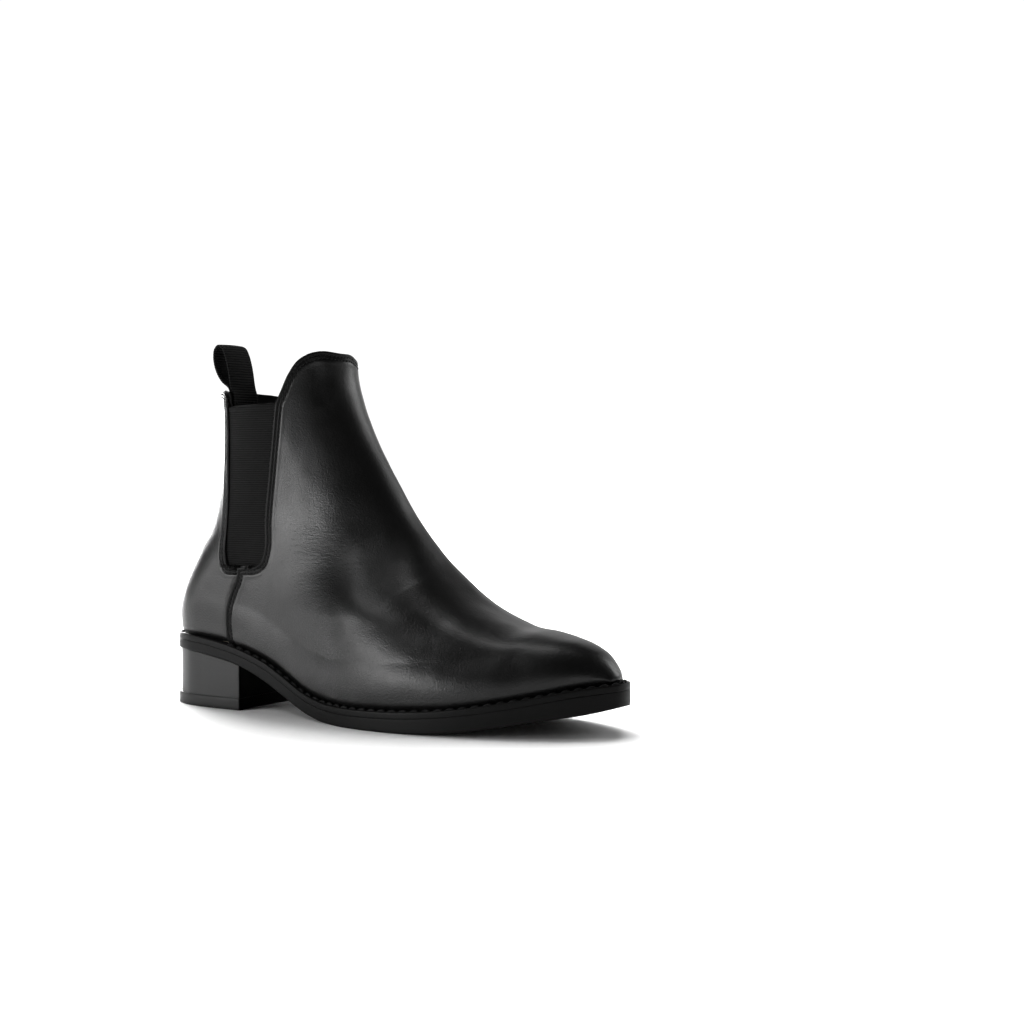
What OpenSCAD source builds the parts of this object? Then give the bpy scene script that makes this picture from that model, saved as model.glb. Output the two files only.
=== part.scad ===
// Ankle boot with elastic side panels, right foot.
// Millimetres. +X points to the toe, -Y is the outer (lateral) side, +Z is up.
// The origin is the middle of the footprint, on the floor.

/* [Size] */
// Length of the sole from heel to toe
sole_length = 283; // [260:0.5:310]
// Width of every part across the foot, as a share of the drawn size
width_scale = 1; // [0.9:0.01:1.1]
// Extra height of the leg above the ankle
leg_extra = 0; // [-15:1:30]

/* [Upper layers] */
// Thickness of the outer leather
leather_t = 1.5; // [1.2:0.1:2.2]
// Thickness of stiffeners and elastic, between leather and lining
middle_t = 1.2; // [0.8:0.1:1.4]
// Thickness of the lining
lining_t = 1.0; // [0.6:0.1:1.4]
// Air between two layers
layer_gap = 0.3; // [0.2:0.05:0.5]
// Air between two panels that meet edge to edge
panel_gap = 0.5; // [0.3:0.1:1]

/* [Sole and heel] */
// Distance from the sole's edge to the upper
welt_show = 3.2; // [2:0.1:5]
// Thickness of the welt
welt_t = 3.4; // [2.5:0.1:5]
// Width of the welt ring
welt_w = 10; // [8:0.5:14]
// Thickness of the top lift, the rubber piece under the heel
lift_t = 6.5; // [4:0.5:9]
// Where the heel's front face stands, from the back of the heel
breast_x = 62; // [55:1:72]
// Hollow of the heel's front face
breast_hollow = 2.5; // [0.5:0.5:5]
// How far the heel block stands inside the edge of the sole
block_inset = 1.2; // [0:0.1:3]
// Length of one welt stitch
stitch_len = 4.6; // [3:0.1:6]
// Distance from one welt stitch to the next
stitch_pitch = 6.5; // [5:0.1:9]

/* [Inside] */
// Thickness of the insole board
board_t = 2.2; // [1.5:0.1:3]
// Thickness of the sock liner
sock_t = 1.2; // [0.8:0.1:2]
// Thickness of the heel cushion
cushion_t = 2; // [1.5:0.1:3]
// Width of the steel shank
shank_w = 15; // [10:1:20]
// Thickness of the steel shank
shank_t = 1.2; // [0.8:0.1:1.6]

/* [Pull tab] */
// Width of the webbing
tab_w = 20; // [14:1:26]
// Thickness of the webbing
tab_t = 1.3; // [1:0.1:1.6]

/* [Mesh] */
// Steps along the upper
steps_long = 50; // [30:2:60]
// Steps from the ridge down to the sole
steps_down = 12; // [8:1:16]

/* [Hidden] */
L = 283;
toe_x = 280.3;  // where the upper ends at the toe
kx = sole_length / L;
ky = width_scale;

// Curves are drawn through these points, measured from the back of the heel.
// Half widths of the sole, outer side and inner side.
lat_w = [[0, 0], [1, 9], [4, 16.5], [10, 23.3], [20, 28.6], [35, 31.4], [62, 32.5], [90, 35],
  [120, 41.5], [148, 49.8], [174, 52], [200, 49.3], [225, 42.4], [247, 32.6], [263, 23.2],
  [273.5, 14.8], [279.6, 8.2], [282.3, 3.6], [L, 0]];
med_w = [[0, 0], [1, 9], [4, 16.5], [10, 23.3], [20, 28.6], [35, 30.8], [62, 30.2], [90, 28.2],
  [120, 29.3], [148, 34.8], [174, 41.3], [200, 44.3], [225, 43.5], [247, 37], [263, 28.4],
  [273.5, 20.4], [279.6, 13], [282.3, 6.6], [L, 0]];
// Height of the welt's top face, and of the outsole's underside.
welt_z = [[0, 39.6], [20, 39.6], [40, 37.7], [62, 33.2], [80, 27.6], [95, 20.9], [110, 14.4],
  [125, 10.8], [142, 9.9], [165, 10], [185, 10.9], [210, 13.2], [235, 17.4], [255, 21.6],
  [267, 24.2], [275, 25.4], [L, 26.5]];
under_z = [[0, 31], [20, 31], [40, 28.9], [62, 24.4], [80, 17.8], [95, 10.9], [110, 4.6],
  [124, 1], [138, 0], [182, 0], [196, 0.5], [210, 1.8], [235, 5.6], [255, 9.4], [267, 11.3],
  [275, 13], [L, 15.2]];
// Front ridge of the upper in side view, top of the leg to the toe.
ridge_pts = [[111.1, 194.2], [112.6, 181], [117.3, 166], [124.6, 150], [133, 135.5], [141.7, 121.5],
  [151.3, 107], [163, 92], [176.6, 77.5], [193, 64.2], [212, 54.8], [224.5, 51], [237, 50],
  [247.5, 48.4], [257, 46.2], [264, 43.6], [269.5, 40.6], [273.7, 37], [277.3, 32.7],
  [279.6, 28.8], [toe_x, 26.1]];
ridge_above = [110.9, 204];  // the ridge would run on to here, above the top edge
// Back of the upper in side view, as [height, distance].
back_pts = [[36, 2.6], [52, 2], [66, 4.8], [82, 12], [98, 20.6], [114, 26], [132, 29.3],
  [150, 31], [176, 30.2]];
// Half width of the leg by height.
leg_w = [[40, 29], [60, 30.3], [80, 30.6], [100, 31], [120, 31.2], [145, 31.8], [170, 32.3],
  [196, 32.5]];
// How square a section is, and how far the ridge lies to the inner side.
ridge_n = [[110, 2.05], [150, 2.5], [200, 2.7], [260, 2.4]];
ridge_c = [[105, 0], [140, 5], [175, 7], [210, 5], [250, 3], [270, 2.4],
  [toe_x, 1.5]];
// Edges of the panels in side view, outer side first, then inner side.
gore_front = [[[86.3, 167.5], [84.3, 147], [81.8, 128], [79.2, 105], [77.8, 87], [76, 82],
  [71.5, 79], [66, 78.4], [60, 78.2]], [[81.5, 167.5], [80, 147], [78.4, 128], [77, 105],
  [76.2, 87], [74.6, 82], [71, 79], [66, 78.4], [60, 78.2]]];
seam_pts = [[60, 78.2], [58.8, 72], [55.9, 66.5], [52.3, 58], [50.7, 47.5], [51.2, 35.9]];
gore_back = [[[49.8, 171], [49.6, 150], [50.2, 125], [50.9, 100], [51, 82], [52, 78.6],
  [55.5, 78.2], [60, 78.2]], [[46.6, 170.2], [46.9, 150], [47.6, 125], [48.7, 100], [49.6, 83],
  [51.2, 79], [55.5, 78.2], [60, 78.2]]];
top_front = [[[111.1, 194.2], [107.2, 195.2], [102.6, 194.2], [97.4, 190.6], [92.6, 183],
  [88.6, 173], [86.3, 167.5]], [[111.1, 194.2], [109.8, 192.4], [106.5, 191], [99.8, 190.4],
  [93.6, 188], [88.2, 182], [84, 173], [81.5, 167.5]]];
top_back = [[[30.2, 175], [38, 175.2], [44.5, 174.6], [48.2, 173.4], [49.8, 171]],
  [[30.2, 175], [36, 174], [41.5, 173.3], [45.2, 172.2], [46.6, 170.2]]];

function clamp(v, a, b) = min(max(v, a), b);
function ease(v) = let(t = clamp(v, 0, 1)) t * t * (3 - 2 * t);
function seg(t, x, i = 0) = (i >= len(t) - 2 || x < t[i + 1][0]) ? i : seg(t, x, i + 1);
function rise(t, i) = (t[i + 1][1] - t[i][1]) / (t[i + 1][0] - t[i][0]);
function slope(t, i) = i == 0 ? rise(t, 0) : i == len(t) - 1 ? rise(t, i - 1)
  : let(a = t[i][0] - t[i - 1][0], b = t[i + 1][0] - t[i][0]) (rise(t, i - 1) * b + rise(t, i) * a) / (a + b);
// Smooth curve through a list of [x, y]
function curve(t, x) = let(i = seg(t, x), h = t[i + 1][0] - t[i][0], u = clamp((x - t[i][0]) / h, 0, 1),
  u2 = u * u, u3 = u2 * u)
  (2 * u3 - 3 * u2 + 1) * t[i][1] + (u3 - 2 * u2 + u) * h * slope(t, i)
  + (3 * u2 - 2 * u3) * t[i + 1][1] + (u3 - u2) * h * slope(t, i + 1);
function cum(p, i = 0, s = 0) = i == len(p) ? [] : concat([s], cum(p, i + 1, i < len(p) - 1 ? s + norm(p[i + 1] - p[i]) : s));
// Smooth plane curve through points, at a share u of its length
function along(p, u) = let(s = cum(p), v = clamp(u, 0, 1) * s[len(p) - 1])
  [curve([for (i = [0:len(p) - 1]) [s[i], p[i][0]]], v), curve([for (i = [0:len(p) - 1]) [s[i], p[i][1]]], v)];

// Half width of an outline that lies d inside the sole's edge
function plan_w(x, side, d) = let(u = clamp((x - d) / (L - 2 * d) * L, 0, L), w = curve(side < 0 ? lat_w : med_w, u))
  max(w - d * ease(w / 14), 0);
// Half width of the upper where it meets the welt
function foot_w(x, side) = let(w = curve(side < 0 ? lat_w : med_w, clamp(x * L / toe_x, 0, L)))
  max(w - welt_show * ease(w / 12), 0);

// Share of the steps, and share of the ridge, at three corners of the front panel
corner_v = [0.3, 0.38, 0.5];   // corner of the elastic, top of the seam, foot of the seam
corner_u = [0.44, 0.55, 0.66];
function ridge_u(v) = v < corner_v[0] ? corner_u[0] * v / corner_v[0]
  : v < corner_v[1] ? mix(corner_u[0], corner_u[1], (v - corner_v[0]) / (corner_v[1] - corner_v[0]))
  : v < corner_v[2] ? mix(corner_u[1], corner_u[2], (v - corner_v[1]) / (corner_v[2] - corner_v[1]))
  : 1 - (1 - corner_u[2]) * pow((1 - v) / (1 - corner_v[2]), 1.45);
// Ridge as short straight pieces, one for each step along the upper
ridge = [for (i = [0:steps_long]) along(ridge_pts, ridge_u(i / steps_long))];

// Nearest point of the ridge: [distance, x, z]
function near_seg(p, a, b) = let(ab = b - a, t = clamp(((p - a) * ab) / (ab * ab), 0, 1), q = a + t * ab) [norm(p - q), q[0], q[1]];
function nearest(l, i = 0, best = [1e9, 0, 0]) = i == len(l) ? best : nearest(l, i + 1, l[i][0] < best[0] ? l[i] : best);
function near_ridge(p) = nearest(concat([near_seg(p, ridge_above, ridge[0])],
  [for (i = [0:len(ridge) - 2]) near_seg(p, ridge[i], ridge[i + 1])]));

// Sideways position of the outer face at side-view point p
function outer_y(p, side) = let(x = p[0], z = p[1], r = near_ridge(p), fore = ease((r[1] - 110) / 45),
  low = max((r[2] - curve(welt_z, r[1])) * 0.97, 2), deep0 = 44 * (1 - fore) + low * fore,
  deep = r[1] < 155 ? max(deep0, min(44, low)) : deep0, n = lookup(r[1], ridge_n),
  ef = pow(1 - pow(1 - clamp(r[0] / deep, 0, 1), n), 1 / n),
  db = 28 + 14 * ease((z - 50) / 60), nb = 2.3 - 0.25 * ease((z - 50) / 60),
  eb = pow(1 - pow(1 - clamp((x - curve(back_pts, z)) / db, 0, 1), nb), 1 / nb),
  h = z - curve(welt_z, x), wf = foot_w(x, side) + 1 * sin(180 * clamp(h / 24, 0, 1)),
  wh = 28.4 + 1.6 * ease(h / 22), k = ease((x - 35) / 60), m = ease((z - 55) / 50) * (1 - ease((x - 150) / 60)),
  w = (wh * (1 - k) + wf * k) * (1 - m) + curve(leg_w, z) * m,
  c = curve(ridge_c, clamp(r[1], 105, toe_x)))
  side * w * ef * eb + c * (1 - ef);
function lift(p) = [p[0] * kx, 0, p[1] + leg_extra * ease((p[1] - 90) / 60)];
function out3(p, side) = lift(p) + [0, outer_y(p, side) * ky, 0];
function unit(v) = let(n = norm(v)) n < 1e-9 ? [1, 0, 0] : v / n;
function mix(a, b, t) = a + (b - a) * t;
function spread(j, m) = 1 - cos(90 * j / m);

// Front panel in side view: row i, step j from the ridge to the lower edge
gf_share = 0.81;  // share of the elastic's front edge above its lower corner
function sole_pt(v) = let(x = 51.2 + (toe_x - 51.2) * (1 - pow(1 - v, 1.45))) [x, curve(welt_z, x) + 0.25];
function low_edge(i, s) = let(v = i / steps_long)
  v < corner_v[0] ? along(gore_front[s], gf_share * v / corner_v[0])
  : v < corner_v[1] ? along(gore_front[s], mix(gf_share, 1, (v - corner_v[0]) / (corner_v[1] - corner_v[0])))
  : v < corner_v[2] ? along(seam_pts, (v - corner_v[1]) / (corner_v[2] - corner_v[1]))
  : sole_pt((v - corner_v[2]) / (1 - corner_v[2]));
function vamp_pt(i, j, s) = let(t = spread(j, steps_down), a = ridge[i], b = low_edge(i, s), f = pow(max(1 - i / 9, 0), 2))
  mix(a, b, t) + f * (along(top_front[s], t) - mix(top_front[s][0], gore_front[s][0], t));
function perp(a, b) = let(d = b - a) unit([-d[1], 0, d[0]]);
function flat(v, on) = on ? unit([v[0], v[1], 0]) : v;
function vamp_half(s) = let(side = s == 0 ? -1 : 1) [for (i = [0:steps_long]) [for (j = [0:steps_down])
  i == steps_long ? out3(ridge[i], side) : out3(vamp_pt(i, j, s), side)]];
function grid_normal(g, i, j, side) = let(a = g[min(i + 1, len(g) - 1)][j] - g[max(i - 1, 0)][j],
  b = g[i][min(j + 1, len(g[0]) - 1)] - g[i][max(j - 1, 0)]) unit(cross(a, b) * side);
function vamp_norm(g, side) = [for (i = [0:steps_long]) [for (j = [0:steps_down])
  i == steps_long ? [1, 0, 0] : j == 0 ? -perp(ridge[min(i + 1, steps_long)], ridge[max(i - 1, 0)])
  : flat(grid_normal(g, i, j, side), j == steps_down && i / steps_long >= corner_v[2])]];
// Both halves side by side in one row, outer side first
function join_rows(a, b) = [for (i = [0:len(a) - 1]) concat([for (j = [len(a[i]) - 1:-1:0]) a[i][j]], [for (j = [1:len(b[i]) - 1]) b[i][j]])];

// Back panel: row i from the top edge to the sole, step j from the back curve forward
q_rows = 26;
q_cols = 9;
function q_edge(i, s) = let(v = i / q_rows) v < 0.62 ? along(gore_back[s], v / 0.62) : along(seam_pts, (v - 0.62) / 0.38);
function q_back(i) = let(v = i / q_rows, z = v < 0.62 ? mix(175, 77.4, v / 0.62) : mix(77.4, 39.85, (v - 0.62) / 0.38)) [curve(back_pts, z), z];
function q_pt(i, j, s) = let(t = spread(j, q_cols), a = q_back(i), b = q_edge(i, s) - [panel_gap, 0],
  f = pow(max(1 - i / 5, 0), 2), fb = pow(clamp((i - q_rows + 6) / 6, 0, 1), 2), x = mix(a[0], b[0], t))
  mix(a, b, t) + f * (along(top_back[s], t) - [panel_gap * t, 0] - mix(top_back[s][0], gore_back[s][0] - [panel_gap, 0], t))
  + fb * [0, curve(welt_z, x) + 0.25 - mix(39.85, curve(welt_z, b[0]) + 0.25, t)];
function q_half(s) = [for (i = [0:q_rows]) [for (j = [0:q_cols]) out3(q_pt(i, j, s), s == 0 ? -1 : 1)]];
function q_norm(g, side) = [for (i = [0:q_rows]) [for (j = [0:q_cols])
  j == 0 ? perp(q_back(min(i + 1, q_rows)), q_back(max(i - 1, 0))) * 1 : flat(grid_normal(g, i, j, -side), i == q_rows)]];

// Elastic: row i from the top edge down, step j from the back edge forward
g_rows = 14;
g_cols = 9;
g_under = 6;
function g_pt(i, j, s) = let(v = i / g_rows, u = j / g_cols, z = mix(mix(165.3, 167.4, u), 72.5, v),
  b = curve([for (k = [len(gore_back[s]) - 4:-1:0]) [gore_back[s][k][1], gore_back[s][k][0]]], max(z, 84)) - g_under,
  f = curve([for (k = [4:-1:0]) [gore_front[s][k][1], gore_front[s][k][0]]], max(z, 87)) + g_under) [mix(b, f, u), z];
function g_grid(s) = [for (i = [0:g_rows]) [for (j = [0:g_cols]) out3(g_pt(i, j, s), s == 0 ? -1 : 1)]];
function g_norm(g, side) = [for (i = [0:g_rows]) [for (j = [0:g_cols]) grid_normal(g, i, j, -side)]];

function offset_grid(g, n, d) = [for (i = [0:len(g) - 1]) [for (j = [0:len(g[0]) - 1]) g[i][j] - n[i][j] * d]];
function rows(g, a, b) = [for (i = [a:b]) g[i]];

module shell(g, n, d0, d1, turn = false) {
  a = offset_grid(g, n, d0);
  b = offset_grid(g, n, d1);
  R = len(g);
  C = len(g[0]);
  function id(k, i, j) = k * R * C + i * C + j;
  pts = concat([for (r = a) for (p = r) p], [for (r = b) for (p = r) p]);
  quads = concat(
    [for (i = [0:R - 2]) for (j = [0:C - 2]) [id(0, i, j), id(0, i, j + 1), id(0, i + 1, j + 1), id(0, i + 1, j)]],
    [for (i = [0:R - 2]) for (j = [0:C - 2]) [id(1, i, j), id(1, i + 1, j), id(1, i + 1, j + 1), id(1, i, j + 1)]],
    [for (i = [0:R - 2]) [id(0, i, 0), id(0, i + 1, 0), id(1, i + 1, 0), id(1, i, 0)]],
    [for (i = [0:R - 2]) [id(0, i, C - 1), id(1, i, C - 1), id(1, i + 1, C - 1), id(0, i + 1, C - 1)]],
    [for (j = [0:C - 2]) [id(0, 0, j), id(1, 0, j), id(1, 0, j + 1), id(0, 0, j + 1)]],
    [for (j = [0:C - 2]) [id(0, R - 1, j), id(0, R - 1, j + 1), id(1, R - 1, j + 1), id(1, R - 1, j)]]);
  tris = [for (q = quads) for (t = [[q[0], q[1], q[2]], [q[0], q[2], q[3]]])
    if (norm(pts[t[0]] - pts[t[1]]) > 1e-6 && norm(pts[t[1]] - pts[t[2]]) > 1e-6 && norm(pts[t[2]] - pts[t[0]]) > 1e-6) turn ? [t[2], t[1], t[0]] : t];
  polyhedron(pts, tris, convexity = 8);
}

ox = -L / 2 * kx;
rim_y = [for (p = outline(0)) p[1]];
oy = -(max(rim_y) + min(rim_y)) / 2;
module place() translate([ox, oy, 0]) children();

d_mid = leather_t + layer_gap;
d_lin = d_mid + middle_t + layer_gap;
d_in = d_lin + lining_t;

module vamp_shell(d0, d1, r0 = 0) {
  gl = vamp_half(0);
  gm = vamp_half(1);
  g = join_rows(gl, gm);
  n = join_rows(vamp_norm(gl, -1), vamp_norm(gm, 1));
  place() shell(rows(g, r0, steps_long), rows(n, r0, steps_long), d0, d1);
}
module quarter_shell(d0, d1, r0 = 0) {
  gl = q_half(0);
  gm = q_half(1);
  g = join_rows(gl, gm);
  n = join_rows(q_norm(gl, -1), q_norm(gm, 1));
  place() shell(rows(g, r0, q_rows), rows(n, r0, q_rows), d0, d1, true);
}
module gore_shell(s) {
  g = g_grid(s);
  place() shell(g, g_norm(g, s == 0 ? -1 : 1), d_mid, d_mid + middle_t, s == 1);
}

// Flat outline d inside the sole's edge
function outline(d, n = 30) = concat(
  [for (k = [0:n]) let(x = d + (L - 2 * d) * (1 - cos(180 * k / n)) / 2) [x * kx, -plan_w(x, -1, d) * ky]],
  [for (k = [n - 1:-1:1]) let(x = d + (L - 2 * d) * (1 - cos(180 * k / n)) / 2) [x * kx, plan_w(x, 1, d) * ky]]);
module plate(d) translate([0, 0, -1]) linear_extrude(height = 70) polygon(outline(d));
// Block between two heights that follow the sole in side view
module side_band(top, top_d, bottom, bottom_d, x0 = -2, x1 = L + 2, n = 34) {
  xs = [for (k = [0:n]) x0 + (x1 - x0) * k / n];
  pts = concat([for (x = xs) [x * kx, curve(top, clamp(x, 0, L)) + top_d]],
    [for (k = [n:-1:0]) [xs[k] * kx, max(curve(bottom, clamp(xs[k], 0, L)) + bottom_d, 0)]]);
  rotate([90, 0, 0]) linear_extrude(height = 160, center = true) polygon(pts);
}
function cushion_h(x) = cushion_t * (1 - ease((x - 48) / 26));
cushion_z = [for (k = [0:20]) let(x = k * 4) [x, curve(welt_z, x) + board_t + cushion_h(x)]];
sock_z = concat(cushion_z, [for (p = welt_z) if (p[0] > 84) [p[0], p[1] + board_t]]);
nail_at = [[15, 0], [26, -13], [26, 13], [47, -17], [47, 17]];
screw_at = [34, 0];
shank_x0 = 52;
shank_x1 = 148;
rivet_at = [60, 140];
head_gap = 0.65;  // flat heads clear the sloping sole by this much
function under_top(x) = curve(welt_z, x) - welt_t;

module nail_holes(r) for (p = nail_at) translate([p[0] * kx, p[1] * ky, 10]) cylinder(r = r, h = 60, $fn = 24);
module heads(r, h) for (p = nail_at) translate([p[0] * kx, p[1] * ky, under_top(p[0]) - 2]) cylinder(r = r, h = h + 2, $fn = 24);

module vamp() color([0.06, 0.06, 0.065]) vamp_shell(0, leather_t);
module quarter() color([0.07, 0.07, 0.075]) quarter_shell(0, leather_t);
module gore_lateral() color([0.03, 0.03, 0.03]) gore_shell(0);
module gore_medial() color([0.03, 0.03, 0.03]) gore_shell(1);
module vamp_lining() color([0.45, 0.36, 0.27]) vamp_shell(d_lin, d_in);
module quarter_lining() color([0.45, 0.36, 0.27]) quarter_shell(d_lin, d_in);
module toe_puff() color([0.75, 0.7, 0.6]) vamp_shell(d_mid, d_mid + middle_t, puff_row);
module heel_counter() color([0.75, 0.7, 0.6]) quarter_shell(d_mid, d_mid + middle_t, counter_row);
puff_row = steps_long - 14;
counter_row = q_rows - 6;

// Webbing loop, standing on the back of the top edge. It folds about a round hem at fold_at.
fold_at = [36, 177];
hem_r = 1.3;
loop_mid = [[36.6, 177], [36.5, 181], [35.8, 186], [34.4, 192], [32.6, 197], [30.2, 200.6], [27.6, 201.4],
  [25.5, 199.6], [24.7, 195.6], [25.4, 190.6], [27.6, 185.4], [30.8, 181.2], [35.1, 177.2]];
function loop_pts(d, n = 44) = [for (k = [0:n]) let(u = k / n, p = along(loop_mid, u), a = along(loop_mid, max(u - 0.01, 0)),
  b = along(loop_mid, min(u + 0.01, 1)), t = (b - a) / norm(b - a)) p + d * [t[1], -t[0]]];
module pull_tab() color([0.04, 0.04, 0.045]) place() translate([0, 0, leg_extra]) {
  rotate([90, 0, 0]) linear_extrude(height = tab_w, center = true) difference() {
    polygon(concat(loop_pts(tab_t / 2), [fold_at]));
    polygon([for (k = [5:39]) loop_pts(-tab_t / 2)[k]]);
  }
  translate([fold_at[0], 0, fold_at[1]]) rotate([90, 0, 0]) cylinder(r = hem_r, h = tab_w, center = true, $fn = 32);
}
function anchor_p(z, y) = let(w = curve(leg_w, z), nb = 2.05, u = 1 - pow(1 - pow(abs(y) / w, nb), 1 / nb)) lift([curve(back_pts, z) + 42 * u, z]) + [0, y * ky, 0];
module pull_tab_anchor() color([0.04, 0.04, 0.045]) {
  g = [for (i = [0:5]) [for (j = [-4:4]) anchor_p(mix(174.6, 152, i / 5), j * tab_w / 8)]];
  n = [for (i = [0:5]) [for (j = [0:8]) grid_normal(g, i, j, -1)]];
  place() shell(g, n, d_in + layer_gap, d_in + layer_gap + 2 * tab_t, true);
}

module insole_board() color([0.72, 0.6, 0.42]) place() difference() {
  intersection() {
    plate(9.4);
    side_band(welt_z, board_t, welt_z, 0);
  }
  for (x = rivet_at) translate([x * kx, 0, curve(welt_z, x) - 4]) cylinder(r = 2.05, h = 12, $fn = 24);
}
module sock_liner() color([0.5, 0.4, 0.3]) place() intersection() {
  plate(9.8);
  side_band(sock_z, sock_t, sock_z, 0);
}
module heel_cushion() color([0.85, 0.83, 0.78]) place() intersection() {
  plate(11);
  side_band(cushion_z, -0.2, welt_z, board_t + 0.15, 8, 64, 28);
}
module shank() color([0.6, 0.62, 0.65]) place() difference() {
  intersection() {
    translate([(shank_x0 + shank_x1) / 2 * kx, 0, 30]) cube([(shank_x1 - shank_x0) * kx, shank_w, 60], center = true);
    side_band(welt_z, -0.4, welt_z, -0.4 - shank_t, shank_x0 - 4, shank_x1 + 4, 26);
  }
  for (x = rivet_at) translate([x * kx, 0, curve(welt_z, x) - 4]) cylinder(r = 2.05, h = 12, $fn = 24);
}
module shank_rivets() color([0.7, 0.66, 0.5]) place()
  for (x = rivet_at) translate([x * kx, 0, curve(welt_z, x) - 1.4]) cylinder(r = 2, h = 0.5 + board_t, $fn = 24);
module bottom_filler() color([0.66, 0.5, 0.34]) place() difference() {
  intersection() {
    plate(welt_w + 0.5);
    side_band(welt_z, 0, welt_z, -welt_t);
  }
  intersection() {
    translate([(shank_x0 + shank_x1) / 2 * kx, 0, 30]) cube([(shank_x1 - shank_x0) * kx + 1, shank_w + 1, 80], center = true);
    side_band(welt_z, 3, welt_z, -2.1, shank_x0 - 4, shank_x1 + 4, 26);
  }
  heads(3, 2.2);
  translate([screw_at[0] * kx, 0, under_top(screw_at[0]) - 2]) cylinder(r = 4.2, h = 4.8, $fn = 32);
}
module welt() color([0.09, 0.09, 0.09]) place() difference() {
  intersection() {
    plate(0);
    side_band(welt_z, 0, welt_z, -welt_t);
  }
  plate(welt_w);
}
module outsole() color([0.08, 0.08, 0.085]) place() difference() {
  intersection() {
    plate(0);
    side_band(welt_z, -welt_t, under_z, 0);
  }
  nail_holes(1.25);
  translate([screw_at[0] * kx, 0, 10]) cylinder(r = 2.05, h = 60, $fn = 24);
}
breast_r = (33 * 33 + breast_hollow * breast_hollow) / (2 * breast_hollow);
module heel_body(z0, z1, inset = 0) difference() {
  intersection() {
    plate(inset);
    translate([-5, -60, z0]) cube([5 + (breast_x) * kx, 120, z1 - z0]);
  }
  translate([(breast_x - breast_hollow + breast_r) * kx, 0, -5]) cylinder(r = breast_r, h = 90, $fn = 240);
}
module heel_block() color([0.05, 0.05, 0.055]) place() difference() {
  intersection() {
    heel_body(lift_t, 50, block_inset);
    side_band(under_z, 0, [[0, 0], [L, 0]], 0);
  }
  nail_holes(1.25);
  translate([screw_at[0] * kx, 0, 12]) cylinder(r = 2.05, h = 60, $fn = 24);
}
module top_lift() color([0.04, 0.04, 0.04]) place() heel_body(0, lift_t);
module heel_nails() color([0.7, 0.7, 0.68]) place() for (p = nail_at) translate([p[0] * kx, p[1] * ky, 0]) {
  translate([0, 0, 13]) cylinder(r = 1.2, h = under_top(p[0]) - 13 + head_gap, $fn = 24);
  translate([0, 0, under_top(p[0]) + head_gap]) cylinder(r = 2.4, h = 0.9, $fn = 24);
}
module heel_screw() color([0.72, 0.72, 0.7]) place() translate([screw_at[0] * kx, 0, 0]) {
  translate([0, 0, 14]) cylinder(r = 2, h = under_top(screw_at[0]) - 14 + head_gap, $fn = 24);
  translate([0, 0, under_top(screw_at[0]) + head_gap]) cylinder(r = 3.7, h = 1.6, $fn = 32);
}
// Stitches on the welt, from the side seam round the toe to the other side seam
module welt_stitch() color([0.02, 0.02, 0.02]) place() {
  d = 1.75;
  stitch_z = 0.72;
  path = concat([for (k = [0:60]) let(x = 50 + (L - d - 50) * sin(90 * k / 60)) [x * kx, -plan_w(x, -1, d) * ky]],
    [for (k = [59:-1:0]) let(x = 50 + (L - d - 50) * sin(90 * k / 60)) [x * kx, plan_w(x, 1, d) * ky]]);
  s = cum(path);
  sx = [for (i = [0:len(path) - 1]) [s[i], path[i][0]]];
  sy = [for (i = [0:len(path) - 1]) [s[i], path[i][1]]];
  n = floor((s[len(s) - 1] - 6) / stitch_pitch);
  for (k = [0:n]) {
    v = 3 + k * stitch_pitch;
    a = [curve(sx, v - 1.5), curve(sy, v - 1.5)];
    b = [curve(sx, v + 1.5), curve(sy, v + 1.5)];
    za = curve(welt_z, a[0] / kx);
    zb = curve(welt_z, b[0] / kx);
    translate([(a[0] + b[0]) / 2, (a[1] + b[1]) / 2, (za + zb) / 2 + stitch_z])
      rotate([0, 0, atan2(b[1] - a[1], b[0] - a[0])]) rotate([0, -atan2(zb - za, norm(b - a)), 0])
        cube([stitch_len, 1.1, 0.9], center = true);
  }
}

vamp();
quarter();
gore_lateral();
gore_medial();
vamp_lining();
quarter_lining();
toe_puff();
heel_counter();
pull_tab();
pull_tab_anchor();
insole_board();
sock_liner();
heel_cushion();
shank();
shank_rivets();
bottom_filler();
welt();
welt_stitch();
outsole();
heel_block();
top_lift();
heel_nails();
heel_screw();
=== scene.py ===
"""Looks of an ankle boot with elastic side panels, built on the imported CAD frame.

Lengths in the shape functions are millimetres, measured from the back of the heel (x), the
middle line of the last (y) and the floor (z), as in the CAD source. place() turns them into
metres in the frame.
"""

import math

import bpy
import numpy as np
from mathutils import Matrix, Vector, kdtree, noise


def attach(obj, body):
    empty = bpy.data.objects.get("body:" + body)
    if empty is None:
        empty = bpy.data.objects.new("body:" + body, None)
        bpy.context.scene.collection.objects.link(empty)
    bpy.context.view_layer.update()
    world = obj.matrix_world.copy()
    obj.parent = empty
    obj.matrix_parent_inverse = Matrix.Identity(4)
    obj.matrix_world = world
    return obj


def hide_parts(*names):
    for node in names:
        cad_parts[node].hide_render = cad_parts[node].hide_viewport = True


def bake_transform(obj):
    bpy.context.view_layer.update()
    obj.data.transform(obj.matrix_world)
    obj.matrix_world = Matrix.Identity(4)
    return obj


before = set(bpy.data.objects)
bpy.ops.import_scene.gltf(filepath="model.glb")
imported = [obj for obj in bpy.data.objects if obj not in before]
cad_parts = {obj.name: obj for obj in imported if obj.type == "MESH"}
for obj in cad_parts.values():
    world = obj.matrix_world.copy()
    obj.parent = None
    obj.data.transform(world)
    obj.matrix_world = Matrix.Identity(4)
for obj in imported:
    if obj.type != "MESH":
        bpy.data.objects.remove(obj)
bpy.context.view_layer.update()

MM = 0.001
OUTER = -1  # the little toe's side, -Y
INNER = 1

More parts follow.
